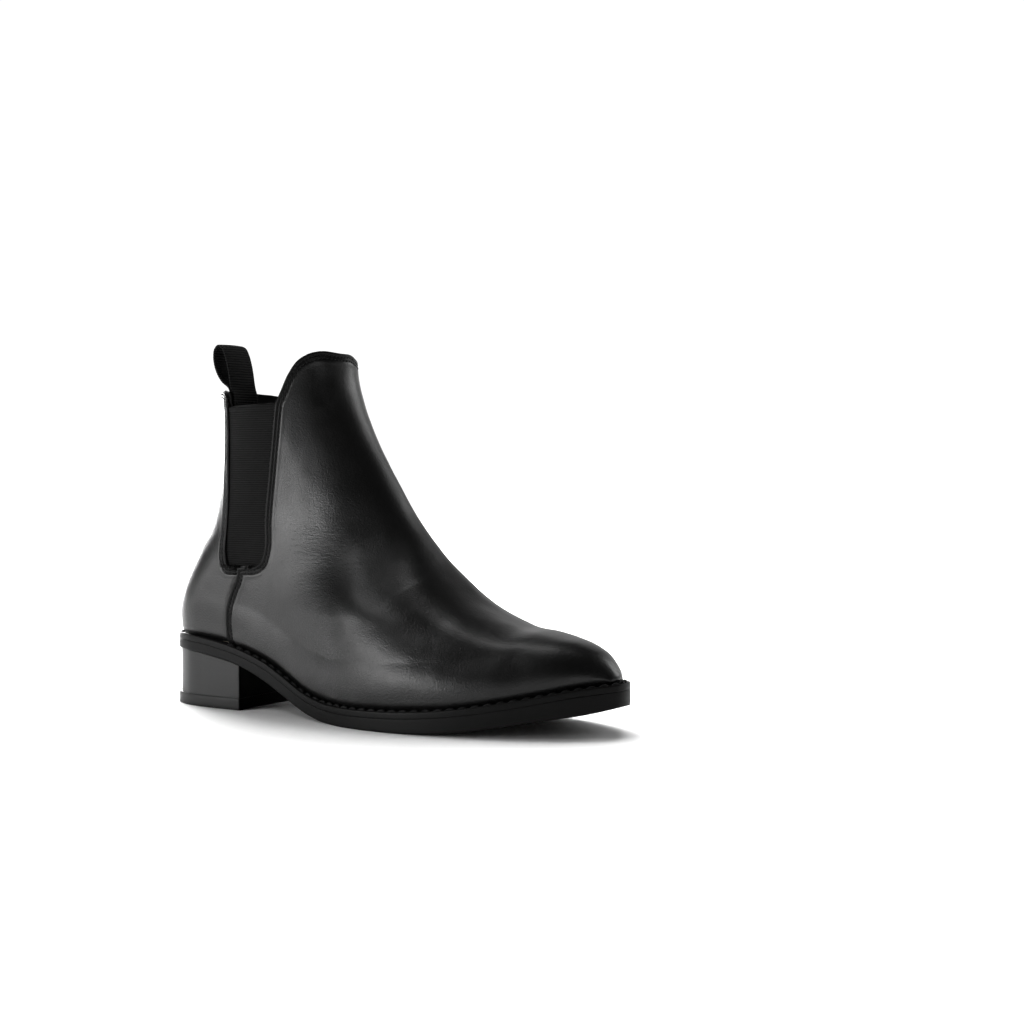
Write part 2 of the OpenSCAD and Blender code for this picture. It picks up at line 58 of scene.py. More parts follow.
# ---------------------------------------------------------------- sizes
SOLE_LENGTH = 283.0
TOE_X = 280.3  # where the upper ends at the toe
WELT_SHOW = 3.2  # sole's edge to the upper
WELT_THICK = 3.4
FOOT_LIFT = -0.8  # the upper's lower edge against the welt's top
LEATHER = 1.2
MIDDLE_DEPTH = 1.35  # outer face of the elastic, below the leather's face
MIDDLE = 1.2
LINING_DEPTH = 3.3
LINING = 1.0
BREAST_X = 62.0  # front face of the heel
BREAST_HALF = 33.0  # half width over which it is hollowed
BREAST_HOLLOW = 2.5
LIFT = 6.5
BLOCK_INSET = 1.2
BOARD = 2.2
SOCK = 1.2
CUSHION = 2.0
TAB_WIDTH = 20.0
TAB_THICK = 1.3

# ---------------------------------------------------------------- shape of the boot
# Half widths of the sole by distance from the heel's back
OUTER_HALF = [(0, 0), (1, 9), (4, 16.5), (10, 23.3), (20, 28.6), (35, 31.4), (62, 32.5), (90, 35),
              (120, 41.5), (148, 49.8), (174, 52), (200, 49.3), (225, 42.4), (247, 32.6), (263, 23.2),
              (273.5, 14.8), (279.6, 8.2), (282.3, 3.6), (283, 0)]
INNER_HALF = [(0, 0), (1, 9), (4, 16.5), (10, 23.3), (20, 28.6), (35, 30.8), (62, 30.2), (90, 28.2),
              (120, 29.3), (148, 34.8), (174, 41.3), (200, 44.3), (225, 43.5), (247, 37), (263, 28.4),
              (273.5, 20.4), (279.6, 13), (282.3, 6.6), (283, 0)]
# Heights of the welt's top face and of the sole's underside
WELT_TOP = [(0, 39.6), (20, 39.6), (40, 37.7), (62, 33.2), (80, 27.6), (95, 20.9), (110, 14.4),
            (125, 10.8), (142, 9.9), (165, 10), (185, 10.9), (210, 13.2), (235, 17.4), (255, 21.6),
            (267, 24.2), (275, 25.4), (283, 26.5)]
SOLE_UNDER = [(0, 31), (20, 31), (40, 28.9), (62, 24.4), (80, 17.8), (95, 10.9), (110, 4.6),
              (124, 1), (138, 0), (182, 0), (196, 0.5), (210, 1.8), (235, 5.6), (255, 9.4),
              (267, 11.3), (275, 13), (283, 15.2)]
# Front ridge of the upper and back of the upper, in side view
RIDGE = [(111.1, 194.2), (112.6, 181), (117.3, 166), (124.6, 150), (133, 135.5), (141.7, 121.5),
         (151.3, 107), (163, 92), (176.6, 77.5), (193, 64.2), (212, 54.8), (224.5, 51), (237, 50),
         (247.5, 48.4), (257, 46.2), (264, 43.6), (269.5, 40.6), (273.7, 37), (277.3, 32.7),
         (279.6, 28.8), (280.3, 26.1)]
RIDGE_ABOVE = (110.9, 204)  # the ridge would run on to here, above the top edge
BACK_BY_HEIGHT = [(36, 2.6), (52, 2), (66, 4.8), (82, 12), (98, 20.6), (114, 26), (132, 29.3),
                  (150, 31), (176, 30.2)]
LEG_HALF_BY_HEIGHT = [(40, 29), (60, 30.3), (80, 30.6), (100, 31), (120, 31.2), (145, 31.8),
                      (170, 32.3), (196, 32.5)]
# How square a section is, and how far the ridge lies to the inner side
RIDGE_SQUARE = [(110, 2.05), (150, 2.5), (200, 2.7), (260, 2.4)]
RIDGE_SHIFT = [(105, 0), (140, 5), (175, 7), (210, 5), (250, 3), (270, 2.4), (280.3, 1.5)]
# Edges of the panels in side view
GORE_FRONT = {
    OUTER: [(86.3, 167.5), (84.3, 147), (81.8, 128), (79.2, 105), (77.8, 87), (76, 82),
            (71.5, 79), (66, 78.4), (60, 78.2)],
    INNER: [(81.5, 167.5), (80, 147), (78.4, 128), (77, 105), (76.2, 87), (74.6, 82),
            (71, 79), (66, 78.4), (60, 78.2)],
}
GORE_BACK = {
    OUTER: [(49.8, 171), (49.6, 150), (50.2, 125), (50.9, 100), (51, 82), (52, 78.6),
            (55.5, 78.2), (60, 78.2)],
    INNER: [(46.6, 170.2), (46.9, 150), (47.6, 125), (48.7, 100), (49.6, 83), (51.2, 79),
            (55.5, 78.2), (60, 78.2)],
}
TOP_FRONT = {
    OUTER: [(111.1, 194.2), (107.2, 195.2), (102.6, 194.2), (97.4, 190.6), (92.6, 183),
            (88.6, 173), (86.3, 167.5)],
    INNER: [(111.1, 194.2), (109.8, 192.4), (106.5, 191), (99.8, 190.4), (93.6, 188), (88.2, 182),
            (84, 173), (81.5, 167.5)],
}
TOP_BACK = {
    OUTER: [(30.2, 175), (38, 175.2), (44.5, 174.6), (48.2, 173.4), (49.8, 171)],
    INNER: [(30.2, 175), (36, 174), (41.5, 173.3), (45.2, 172.2), (46.6, 170.2)],
}
SEAM = [(60, 78.2), (58.8, 72), (55.9, 66.5), (52.3, 58), (50.7, 47.5), (51.2, 35.9)]
# Middle line of the pull tab's loop, in side view
LOOP = [(36.6, 177), (36.5, 181), (35.8, 186), (34.4, 192), (32.6, 197), (30.2, 200.6), (27.6, 201.4),
        (25.5, 199.6), (24.7, 195.6), (25.4, 190.6), (27.6, 185.4), (30.8, 181.2), (35.1, 177.2)]


# ---------------------------------------------------------------- curves
def ease(value):
    """0 below 0, 1 above 1, and a smooth step between."""
    t = np.clip(value, 0, 1)
    return t * t * (3 - 2 * t)


def mix(a, b, t):
    return a + (b - a) * t


def curve(points, x):
    """Smooth curve through (x, y) points, at x."""
    table = np.asarray(points, float)
    x = np.asarray(x, float)
    step = np.diff(table[:, 0])
    rise = np.diff(table[:, 1]) / step
    slope = np.empty(len(table))
    slope[0] = rise[0]
    slope[-1] = rise[-1]
    slope[1:-1] = (rise[:-1] * step[1:] + rise[1:] * step[:-1]) / (step[:-1] + step[1:])
    i = np.clip(np.searchsorted(table[:, 0], x, side="right") - 1, 0, len(step) - 1)
    u = np.clip((x - table[i, 0]) / step[i], 0, 1)
    u2 = u * u
    u3 = u2 * u
    start = (2 * u3 - 3 * u2 + 1) * table[i, 1] + (u3 - 2 * u2 + u) * step[i] * slope[i]
    end = (3 * u2 - 2 * u3) * table[i + 1, 1] + (u3 - u2) * step[i] * slope[i + 1]
    return start + end


def lengths(points):
    """Distance along a line at each of its points."""
    p = np.asarray(points, float)
    steps = np.linalg.norm(np.diff(p, axis=0), axis=1)
    return np.concatenate([[0], np.cumsum(steps)])


def along(points, share):
    """Points at shares of the length of a smooth line through points."""
    p = np.asarray(points, float)
    s = lengths(p)
    at = np.clip(share, 0, 1) * s[-1]
    return np.stack([curve(np.stack([s, p[:, k]], 1), at) for k in range(p.shape[1])], -1)


def unit(v):
    n = np.linalg.norm(v, axis=-1, keepdims=True)
    return v / np.maximum(n, 1e-12)


# ---------------------------------------------------------------- sole outline
def closed_outline(count=560):
    """Outline of the sole, heel back, outer side, toe, inner side, with its outward normals."""
    outer = [(x, -w) for x, w in OUTER_HALF]
    inner = [(x, w) for x, w in INNER_HALF[1:-1]][::-1]
    ring = np.array(outer + inner)
    lapped = np.vstack([ring[-3:], ring, ring[:4]])
    s = lengths(lapped)
    at = s[3] + (s[3 + len(ring)] - s[3]) * np.arange(count) / count
    xy = np.stack([curve(np.stack([s, lapped[:, k]], 1), at) for k in (0, 1)], -1)
    ahead = np.roll(xy, -1, axis=0) - np.roll(xy, 1, axis=0)
    normal = unit(np.stack([ahead[:, 1], -ahead[:, 0]], -1))
    return xy, normal


OUTLINE, OUTLINE_NORMAL = closed_outline()
MIDDLE_Y = -(OUTLINE[:, 1].max() + OUTLINE[:, 1].min()) / 2


def place(points):
    """Millimetres in the boot's own measure to metres in the frame."""
    return (np.asarray(points, float) + [-SOLE_LENGTH / 2, MIDDLE_Y, 0]) * MM


def half_width(x, side):
    """Half width of the upper where it meets the welt."""
    table = OUTER_HALF if side == OUTER else INNER_HALF
    w = curve(table, np.clip(x * SOLE_LENGTH / TOE_X, 0, SOLE_LENGTH))
    return np.maximum(w - WELT_SHOW * ease(w / 12), 0)


# ---------------------------------------------------------------- surface of the upper
RIDGE_LINE = np.vstack([RIDGE_ABOVE, along(RIDGE, 1 - (1 - np.linspace(0, 1, 280)) ** 1.5)])


def near_ridge(points):
    """Distance behind the front ridge in side view, and the ridge's nearest point."""
    a = RIDGE_LINE[:-1]
    ab = RIDGE_LINE[1:] - a
    found = []
    for part in np.array_split(points, max(1, len(points) // 4000)):
        rel = part[:, None] - a
        t = np.clip((rel * ab).sum(-1) / (ab * ab).sum(-1), 0, 1)
        gap = np.linalg.norm(rel - t[..., None] * ab, axis=-1)
        best = gap.argmin(1)
        row = np.arange(len(part))
        side = ab[best, 0] * rel[row, best, 1] - ab[best, 1] * rel[row, best, 0]
        behind = np.where(side < 0, gap[row, best], 0)
        found.append(np.column_stack([behind, a[best] + t[row, best, None] * ab[best]]))
    return np.vstack(found)


def round_share(share, power):
    """Height of a rounded section: 0 at its edge, 1 from share 1 on."""
    return (1 - (1 - np.clip(share, 0, 1)) ** power) ** (1 / power)


LEG_DEPTH = 44.0  # from the ridge to the widest place of a leg section
FOOT_FROM = 110.0  # ridge x where leg sections start to turn into foot sections
FOOT_RUN = 45.0
BACK_DEPTH = 28.0  # depth of the back's rounding at the heel
BACK_DEPTH_LEG = 14.0  # what the leg adds to it
HEEL_HALF = 28.4
HEEL_SWELL = 1.6  # how much wider the heel is above its foot
FOOT_SWELL_HEIGHT = 24.0  # height of the bulge above the welt


def outer_point(side_view, side):
    """Point of the upper's outer face above or beside a point in side view."""
    flat = side_view.reshape(-1, 2)
    x, z = flat.T
    near, ridge_x, ridge_z = near_ridge(flat).T
    fore = ease((ridge_x - FOOT_FROM) / FOOT_RUN)
    low = np.maximum((ridge_z - curve(WELT_TOP, ridge_x)) * 0.97, 2)
    deep = LEG_DEPTH * (1 - fore) + low * fore
    at_least = np.maximum(deep, np.minimum(LEG_DEPTH, low))
    deep = np.where(ridge_x < FOOT_FROM + FOOT_RUN, at_least, deep)
    square_x, square_n = np.array(RIDGE_SQUARE).T
    front = round_share(near / deep, np.interp(ridge_x, square_x, square_n))
    leg = ease((z - 50) / 60)
    back_depth = BACK_DEPTH + BACK_DEPTH_LEG * leg
    back = round_share((x - curve(BACK_BY_HEIGHT, z)) / back_depth, 2.3 - 0.25 * leg)
    height = z - curve(WELT_TOP, x)
    foot = half_width(x, side) + np.sin(np.pi * np.clip(height / FOOT_SWELL_HEIGHT, 0, 1))
    heel = HEEL_HALF + HEEL_SWELL * ease(height / 22)
    to_foot = ease((x - 35) / 60)
    to_leg = ease((z - 55) / 50) * (1 - ease((x - 150) / 60))
    wide = mix(mix(heel, foot, to_foot), curve(LEG_HALF_BY_HEIGHT, z), to_leg)
    shift = curve(RIDGE_SHIFT, np.clip(ridge_x, 105, TOE_X))
    y = side * wide * front * back + shift * (1 - front)
    return np.column_stack([x, y, z]).reshape(side_view.shape[:-1] + (3,))


TIP_NORMAL = (0.97, 0, 0.24)  # where the grid's rows shrink to a point at the toe


def normals_of(grid):
    """Outward normals of a grid whose columns run from the outer side to the inner side."""
    down = np.gradient(grid, axis=0)
    across = np.gradient(grid, axis=1)
    n = unit(np.cross(across, down))
    middle = grid.reshape(-1, 3).mean(0)
    if ((grid - middle) * n).sum() < 0:
        n = -n
    weak = np.linalg.norm(np.cross(across, down), axis=-1) < 1e-9
    n[weak] = TIP_NORMAL
    centre = grid.shape[1] // 2
    n[:, centre] = unit(n[:, centre - 1] + n[:, centre + 1])
    return n


# ---------------------------------------------------------------- front panel
CORNER_ROW = (0.3, 0.38, 0.5)  # elastic's corner, top of the seam, foot of the seam
CORNER_RIDGE = (0.44, 0.55, 0.66)
GORE_SHARE = 0.81  # share of the elastic's front edge above its lower corner
TOE_POWER = 1.45
VAMP_TOP_SHARE = 9 / 50  # rows that follow the curve of the top edge


def ridge_share(v):
    end = 1 - (1 - CORNER_RIDGE[2]) * ((1 - v) / (1 - CORNER_ROW[2])).clip(0, 1) ** TOE_POWER
    return np.where(v < CORNER_ROW[2], np.interp(v, (0, *CORNER_ROW), (0, *CORNER_RIDGE)), end)


def welt_point(v):
    """Foot of the front panel, a share v of the way from the seam to the toe."""
    x = SEAM[-1][0] + (TOE_X - SEAM[-1][0]) * (1 - (1 - np.clip(v, 0, 1)) ** TOE_POWER)
    return np.column_stack([x, curve(WELT_TOP, x) + FOOT_LIFT])


def vamp_low_edge(v, side):
    """Edge of the front panel away from the ridge: elastic, side seam, then welt."""
    top, seam_top, seam_foot = CORNER_ROW
    gore = along(GORE_FRONT[side], np.interp(v, (0, top, seam_top), (0, GORE_SHARE, 1)))
    seam = along(SEAM, (v - seam_top) / (seam_foot - seam_top))
    welt = welt_point((v - seam_foot) / (1 - seam_foot))
    v = v[:, None]
    return np.where(v < seam_top, gore, np.where(v < seam_foot, seam, welt))


def top_curve(v, t, top, share):
    """What turns straight rows near the top edge into rows that follow its curve."""
    lift = (np.maximum(1 - v / share, 0) ** 2)[:, None, None]
    straight = mix(np.array(top[0]), np.array(top[-1]), t[:, None])
    return lift * (along(top, t) - straight)


def vamp_side_view(v, t, side):
    ridge = along(RIDGE, ridge_share(v))
    low = vamp_low_edge(v, side)
    view = mix(ridge[:, None], low[:, None], t[None, :, None])
    return view + top_curve(v, t, TOP_FRONT[side], VAMP_TOP_SHARE)


def both_sides(half, *args):
    """Grid of both halves, outer side first, joined at the middle."""
    return np.concatenate([half(*args, OUTER)[:, ::-1], half(*args, INNER)[:, 1:]], axis=1)


def vamp_half(v, t, side):
    return outer_point(vamp_side_view(v, t, side), side)


def close_at_both_ends(count):
    """Shares from 0 to 1 that lie closer together towards both ends."""
    return (1 - np.cos(np.pi * np.linspace(0, 1, count))) / 2


def close_at_start(first, growth, widest):
    """Shares from 0 to 1 that start close together and grow to an even spacing."""
    steps = [first]
    while sum(steps) < 1:
        steps.append(min(steps[-1] * growth, widest))
    at = np.concatenate([[0], np.cumsum(steps)])
    return at / at[-1]


def denser_between(shares, low, high, times):
    """The same shares, with more of them between low and high."""
    inside = (shares >= low) & (shares <= high)
    fine = np.linspace(low, high, times * int(inside.sum()))
    return np.unique(np.concatenate([shares[~inside], fine]))


# ---------------------------------------------------------------- back panel
QUARTER_SEAM_ROW = 0.62
QUARTER_GAP = 0.5  # air between the two panels' edges
QUARTER_LEVELS = (175, 77.4, 39.85)  # heights at the top, at the side seam's top and at the foot
QUARTER_TOP_SHARE = 5 / 26  # rows that follow the curve of the top edge
QUARTER_FOOT_SHARE = 6 / 26  # rows that follow the welt
FOOT_LEVEL = 0.25  # rows end this far above the welt before they follow it
SEAM_LAP = 8.0  # leather under the front panel at the side seam


def quarter_side_view(v, t, side, lap):
    """lap is how far the panel runs on under the front panel at the side seam."""
    upper = along(GORE_BACK[side], v / QUARTER_SEAM_ROW)
    lower = along(SEAM, (v - QUARTER_SEAM_ROW) / (1 - QUARTER_SEAM_ROW))
    edge = np.where((v < QUARTER_SEAM_ROW)[:, None], upper, lower)
    edge[:, 0] += lap * ease((v - QUARTER_SEAM_ROW) / 0.05) - QUARTER_GAP
    z = np.interp(v, (0, QUARTER_SEAM_ROW, 1), QUARTER_LEVELS)
    back = np.column_stack([curve(BACK_BY_HEIGHT, z), z])
    view = mix(back[:, None], edge[:, None], t[None, :, None])
    view = view + top_curve(v, t, TOP_BACK[side], QUARTER_TOP_SHARE)
    foot = (np.clip((v - 1) / QUARTER_FOOT_SHARE + 1, 0, 1) ** 2)[:, None]
    level = mix(QUARTER_LEVELS[-1], (curve(WELT_TOP, edge[:, 0]) + FOOT_LEVEL)[:, None], t[None, :])
    view[..., 1] += foot * (curve(WELT_TOP, view[..., 0]) + FOOT_LIFT - level)
    return view


def quarter_half(v, t, lap, side):
    return outer_point(quarter_side_view(v, t, side, lap), side)


# ---------------------------------------------------------------- elastic panel
GORE_UNDER = 6  # elastic under the leather's edges
GORE_TOP = (165.3, 167.4)  # heights of its top edge, back and front
GORE_FOOT = 72.5
GORE_STRAIGHT = (84, 87)  # below these heights its hidden back and front edges run straight down


def gore_half(v, u, side):
    top = mix(*GORE_TOP, u)[None, :]
    z = mix(top, GORE_FOOT, v[:, None])
    back = [(z0, x0) for x0, z0 in GORE_BACK[side][4::-1]]
    front = [(z0, x0) for x0, z0 in GORE_FRONT[side][4::-1]]
    x0 = curve(back, np.maximum(z, GORE_STRAIGHT[0])) - GORE_UNDER
    x1 = curve(front, np.maximum(z, GORE_STRAIGHT[1])) + GORE_UNDER
    return outer_point(np.stack([mix(x0, x1, u[None, :]), z], -1), side)


# ---------------------------------------------------------------- distances and edges
def distance_to(points, line):
    """Distance from each point to a line in space."""
    s = lengths(line)
    fine = np.linspace(0, s[-1], max(2, int(s[-1] / 0.15)))
    dense = np.stack([np.interp(fine, s, line[:, k]) for k in range(3)], -1)
    tree = kdtree.KDTree(len(dense))
    for i, p in enumerate(dense):
        tree.insert(p, i)
    tree.balance()
    flat = points.reshape(-1, 3)
    return np.array([tree.find(p)[2] for p in flat]).reshape(points.shape[:-1])


def bump_at(distance, centre, width):
    return np.exp(-(((distance - centre) / width) ** 2))


STITCH_ROWS = (1.7, 3.5)  # distance of the two rows from a folded edge
STITCH_GROOVE = 0.36  # depth and width of the groove that a row lies in
STRIP = 4.5  # width of the duller strip along a folded edge


def folded_edge(distance):
    """Rise and fall of leather folded at its edge and sewn down with two rows."""
    pad = 0.28 * bump_at(distance, 0.75, 0.65) + 0.12 * bump_at(distance, 2.6, 0.5)
    rows = sum(STITCH_GROOVE * bump_at(distance, d, STITCH_GROOVE) for d in STITCH_ROWS)
    return pad - rows + 0.14 * bump_at(distance, 4.9, 1.0)


def waviness(points, size, depth):
    """Gentle unevenness of leather over a last."""
    flat = points.reshape(-1, 3) / size
    return depth * np.array([noise.noise(Vector(p)) for p in flat]).reshape(points.shape[:-1])


def soft_line(grid, start, end, width, side=None):
    """Nearness, 0 to 1, to a line in side view, for creases and dents."""
    p = grid[..., [0, 2]]
    a = np.array(start, float)
    ab = np.array(end, float) - a
    t = np.clip(((p - a) @ ab) / (ab @ ab), 0, 1)
    gap = np.linalg.norm(p - (a + t[..., None] * ab), axis=-1)
    near = np.exp(-((gap / width) ** 2)) * (1 - (2 * t - 1) ** 4)
    if side is not None:
        near = near * ease(0.5 + side * grid[..., 1] / 12)
    return near


def tuck_at_sole(grid):
    """How far the upper turns in under the last, just above the welt."""
    height = grid[..., 2] - curve(WELT_TOP, np.clip(grid[..., 0], 0, SOLE_LENGTH))
    return 1.4 * np.clip(1 - height / 4.5, 0, 1) ** 2


def room_at_toe(grid):
    """Largest inward offset that each row can take before its two sides would cross."""
    return 0.6 * np.linalg.norm(grid[:, -1] - grid[:, 0], axis=1)[:, None] / 2


# ---------------------------------------------------------------- meshes
def new_mesh(name, points, faces, material, attributes=None):
    """Mesh object from millimetre points, smooth all over."""
    data = bpy.data.meshes.new(name)
    data.from_pydata(place(points).tolist(), [], faces)
    data.validate()
    data.polygons.foreach_set("use_smooth", [True] * len(data.polygons))
    for key, values in (attributes or {}).items():
        layer = data.attributes.new(key, "FLOAT", "POINT")
        layer.data.foreach_set("value", np.asarray(values, np.float32).ravel())
    obj = bpy.data.objects.new(name, data)
    bpy.context.scene.collection.objects.link(obj)
    data.materials.append(material)
    return obj


def grid_faces(ids, flip=False):
    """Quads of a grid of point numbers, as tuples."""
    quads = np.stack([ids[:-1, :-1], ids[:-1, 1:], ids[1:, 1:], ids[1:, :-1]], -1).reshape(-1, 4)
    if flip:
        quads = quads[:, ::-1]
    return [tuple(q) for q in quads.tolist()]


def rim_of(array):
    """Values of a grid along its rim, all the way round."""
    return np.concatenate([array[0], array[1:, -1], array[-1, -2::-1], array[-2:0:-1, 0]])


def rim_outward(grid, normal):
    """Direction that points off the panel, in its surface, along the rim."""
    out = np.zeros_like(grid)
    out[0] += unit(grid[0] - grid[2])
    out[-1] += unit(grid[-1] - grid[-3])
    out[:, 0] += unit(grid[:, 0] - grid[:, 3])
    out[:, -1] += unit(grid[:, -1] - grid[:, -4])
    out -= (out * normal).sum(-1, keepdims=True) * normal
    return unit(rim_of(out))


def panel(name, grid, normal, thick, material, attributes=None, rings=6, bulge=1.0):
    """Sheet behind a grid, with a rounded rim; thick is one number or one for each point."""
    thick = np.broadcast_to(thick, grid.shape[:2])
    inner = grid - normal * thick[..., None]
    rows, cols = grid.shape[:2]
    count = rows * cols
    ids = np.arange(count).reshape(rows, cols)
    rim_ids = rim_of(ids)
    rim_normal = rim_of(normal)
    half = rim_of(thick)[:, None] / 2
    centre = rim_of(grid) - rim_normal * half
    outward = rim_outward(grid, normal)
    points = [grid.reshape(-1, 3), inner.reshape(-1, 3)]
    loops = [rim_ids]
    for k in range(1, rings):
        angle = math.pi * k / rings
        ring = centre + (rim_normal * math.cos(angle) + outward * bulge * math.sin(angle)) * half
        loops.append(2 * count + (k - 1) * len(ring) + np.arange(len(ring)))
        points.append(ring)
    loops.append(rim_ids + count)
    faces = grid_faces(ids) + grid_faces(ids + count, flip=True)
    wrapped = np.stack([np.append(loop, loop[0]) for loop in loops])
    faces += grid_faces(wrapped, flip=True)
    full = {}
    for key, values in (attributes or {}).items():
        rim_values = np.tile(rim_of(values), rings - 1)
        full[key] = np.concatenate([values.ravel(), values.ravel(), rim_values])
    return facing_out(new_mesh(name, np.vstack(points), faces, material, full))


def facing_out(obj):
    """Turns the faces if the closed mesh has a negative volume."""
    data = obj.data
    data.calc_loop_triangles()
    co = np.zeros(len(data.vertices) * 3)
    data.vertices.foreach_get("co", co)
    co = co.reshape(-1, 3)
    tri = np.zeros(len(data.loop_triangles) * 3, np.int32)
    data.loop_triangles.foreach_get("vertices", tri)
    a, b, c = co[tri.reshape(-1, 3)].transpose(1, 0, 2)
    if (a * np.cross(b, c)).sum() < 0:
        data.flip_normals()
    return obj


def ring_body(name, rings, material, cyclic=False):
    """Closed body through rings of points, with end faces or, if cyclic, back to the first ring."""
    rings = [np.asarray(r, float) for r in rings]
    n = len(rings[0])
    ids = np.arange(n * len(rings)).reshape(len(rings), n)
    if cyclic:
        ids = np.vstack([ids, ids[:1]])
    wrapped = np.hstack([ids, ids[:, :1]])
    faces = grid_faces(wrapped)
    points = np.vstack(rings)
    ends = [] if cyclic else [ids[0], ids[-1][::-1]]
    for loop in ends:
        points = np.vstack([points, points[loop].mean(0)])
        hub = len(points) - 1
        faces += [(hub, int(loop[k]), int(loop[k - 1])) for k in range(n)]
    return facing_out(new_mesh(name, points, faces, material))


# ---------------------------------------------------------------- stitches
def contour(field, level, grid, normal):
    """Longest line on a grid where a field has a level, with its normals."""
    above = field >= level
    crossings = {}
    steps = (("across", np.s_[:, :-1], np.s_[:, 1:]), ("down", np.s_[:-1], np.s_[1:]))
    for key, here, there in steps:
        change = field[there] - field[here]
        share = (level - field[here]) / np.where(change == 0, 1, change)
        at = mix(grid[here], grid[there], share[..., None])
        up = mix(normal[here], normal[there], share[..., None])
        crossings[key] = (above[here] != above[there], at, up)
    joined = {}
    across, down = crossings["across"][0], crossings["down"][0]
    rows, cols = np.nonzero(across[:-1] | across[1:] | down[:, :-1] | down[:, 1:])
    for i, j in zip(rows.tolist(), cols.tolist()):
        sides = [("across", i, j), ("down", i, j + 1), ("across", i + 1, j), ("down", i, j)]
        cut = [k for k in sides if crossings[k[0]][0][k[1], k[2]]]
        for a, b in zip(cut[::2], cut[1::2]):
            joined.setdefault(a, []).append(b)
            joined.setdefault(b, []).append(a)
    best = []
    seen = set()
    ends = sorted(k for k, v in joined.items() if len(v) == 1)
    for start in ends:
        if start in seen:
            continue
        chain = [start]
        seen.add(start)
        while True:
            onward = [k for k in joined[chain[-1]] if k not in seen]
            if not onward:
                break
            chain.append(onward[0])
            seen.add(onward[0])
        if len(chain) > len(best):
            best = chain
    points = np.array([crossings[k][1][i, j] for k, i, j in best])
    normals = unit(np.array([crossings[k][2][i, j] for k, i, j in best]))
    return points, normals


THREAD = 0.3  # radius of the sewing thread
STITCH_PITCH = 2.25


def stitches(name, lines, material, pitch=STITCH_PITCH, radius=THREAD, length=0.76, lean=0.14,
             arch=0.26, around=8, steps=9):
    """Short rounded threads that follow lines on the leather, with their ends sunk into it.

    length and lean are shares of the pitch, around and steps the corners of a thread's mesh.
    """
    share = np.linspace(-1, 1, steps)
    thick = radius * np.sqrt(np.maximum(1 - np.abs(share) ** 5, 0.02))
    turn = 2 * math.pi * np.arange(around) / around
    ids = np.arange(steps * around).reshape(steps, around)
    side = np.array(grid_faces(np.hstack([ids, ids[:, :1]])))
    first_cap = ids[0, ::-1]
    last_cap = ids[-1]
    points = []
    faces = []
    for line, normals in lines:
        keep = np.concatenate([[True], np.linalg.norm(np.diff(line, axis=0), axis=1) > 1e-4])
        s = lengths(line[keep])

        def pick(array, where):
            return np.stack([np.interp(where, s, array[keep, k]) for k in range(3)], -1)

        for middle in np.arange(0.5 * pitch, s[-1] - 0.8 * pitch, pitch):
            offset = share * pitch * length / 2
            where = middle + offset
            up = unit(pick(normals, where))
            ahead = unit(pick(line, where + 0.3) - pick(line, where - 0.3))
            across = unit(np.cross(up, ahead))
            rise = arch * (1 - share**2) - radius * 0.35
            centre = pick(line, where) + across * (lean * offset)[:, None] + up * rise[:, None]
            spoke = across[:, None] * np.cos(turn)[:, None] + up[:, None] * np.sin(turn)[:, None]
            base = len(points) * steps * around
            points.append((centre[:, None] + spoke * thick[:, None, None]).reshape(-1, 3))
            faces += (side + base).tolist()
            faces += [(first_cap + base).tolist(), (last_cap + base).tolist()]
    return facing_out(new_mesh(name, np.vstack(points), faces, material))


# ---------------------------------------------------------------- materials
class Graph:
    """Adds and links shader nodes in the node tree of a material or world."""

    def __init__(self, owner):
        owner.use_nodes = True
        self.tree = owner.node_tree

    def add(self, kind, inputs=None, **settings):
        node = self.tree.nodes.new(kind)
        for key, value in settings.items():
            setattr(node, key, value)
        for key, value in (inputs or {}).items():
            self.feed(node.inputs[key], value)
        return node

    def feed(self, socket, value):
        if isinstance(value, bpy.types.NodeSocket):
            self.tree.links.new(value, socket)
        else:
            socket.default_value = value

    def math(self, operation, a, b):
        return self.add("ShaderNodeMath", {0: a, 1: b}, operation=operation).outputs[0]

    def range(self, value, low, high, to_low, to_high, kind="LINEAR"):
        inputs = {"Value": value, "From Min": low, "From Max": high, "To Min": to_low, "To Max": to_high}
        return self.add("ShaderNodeMapRange", inputs, interpolation_type=kind).outputs[0]


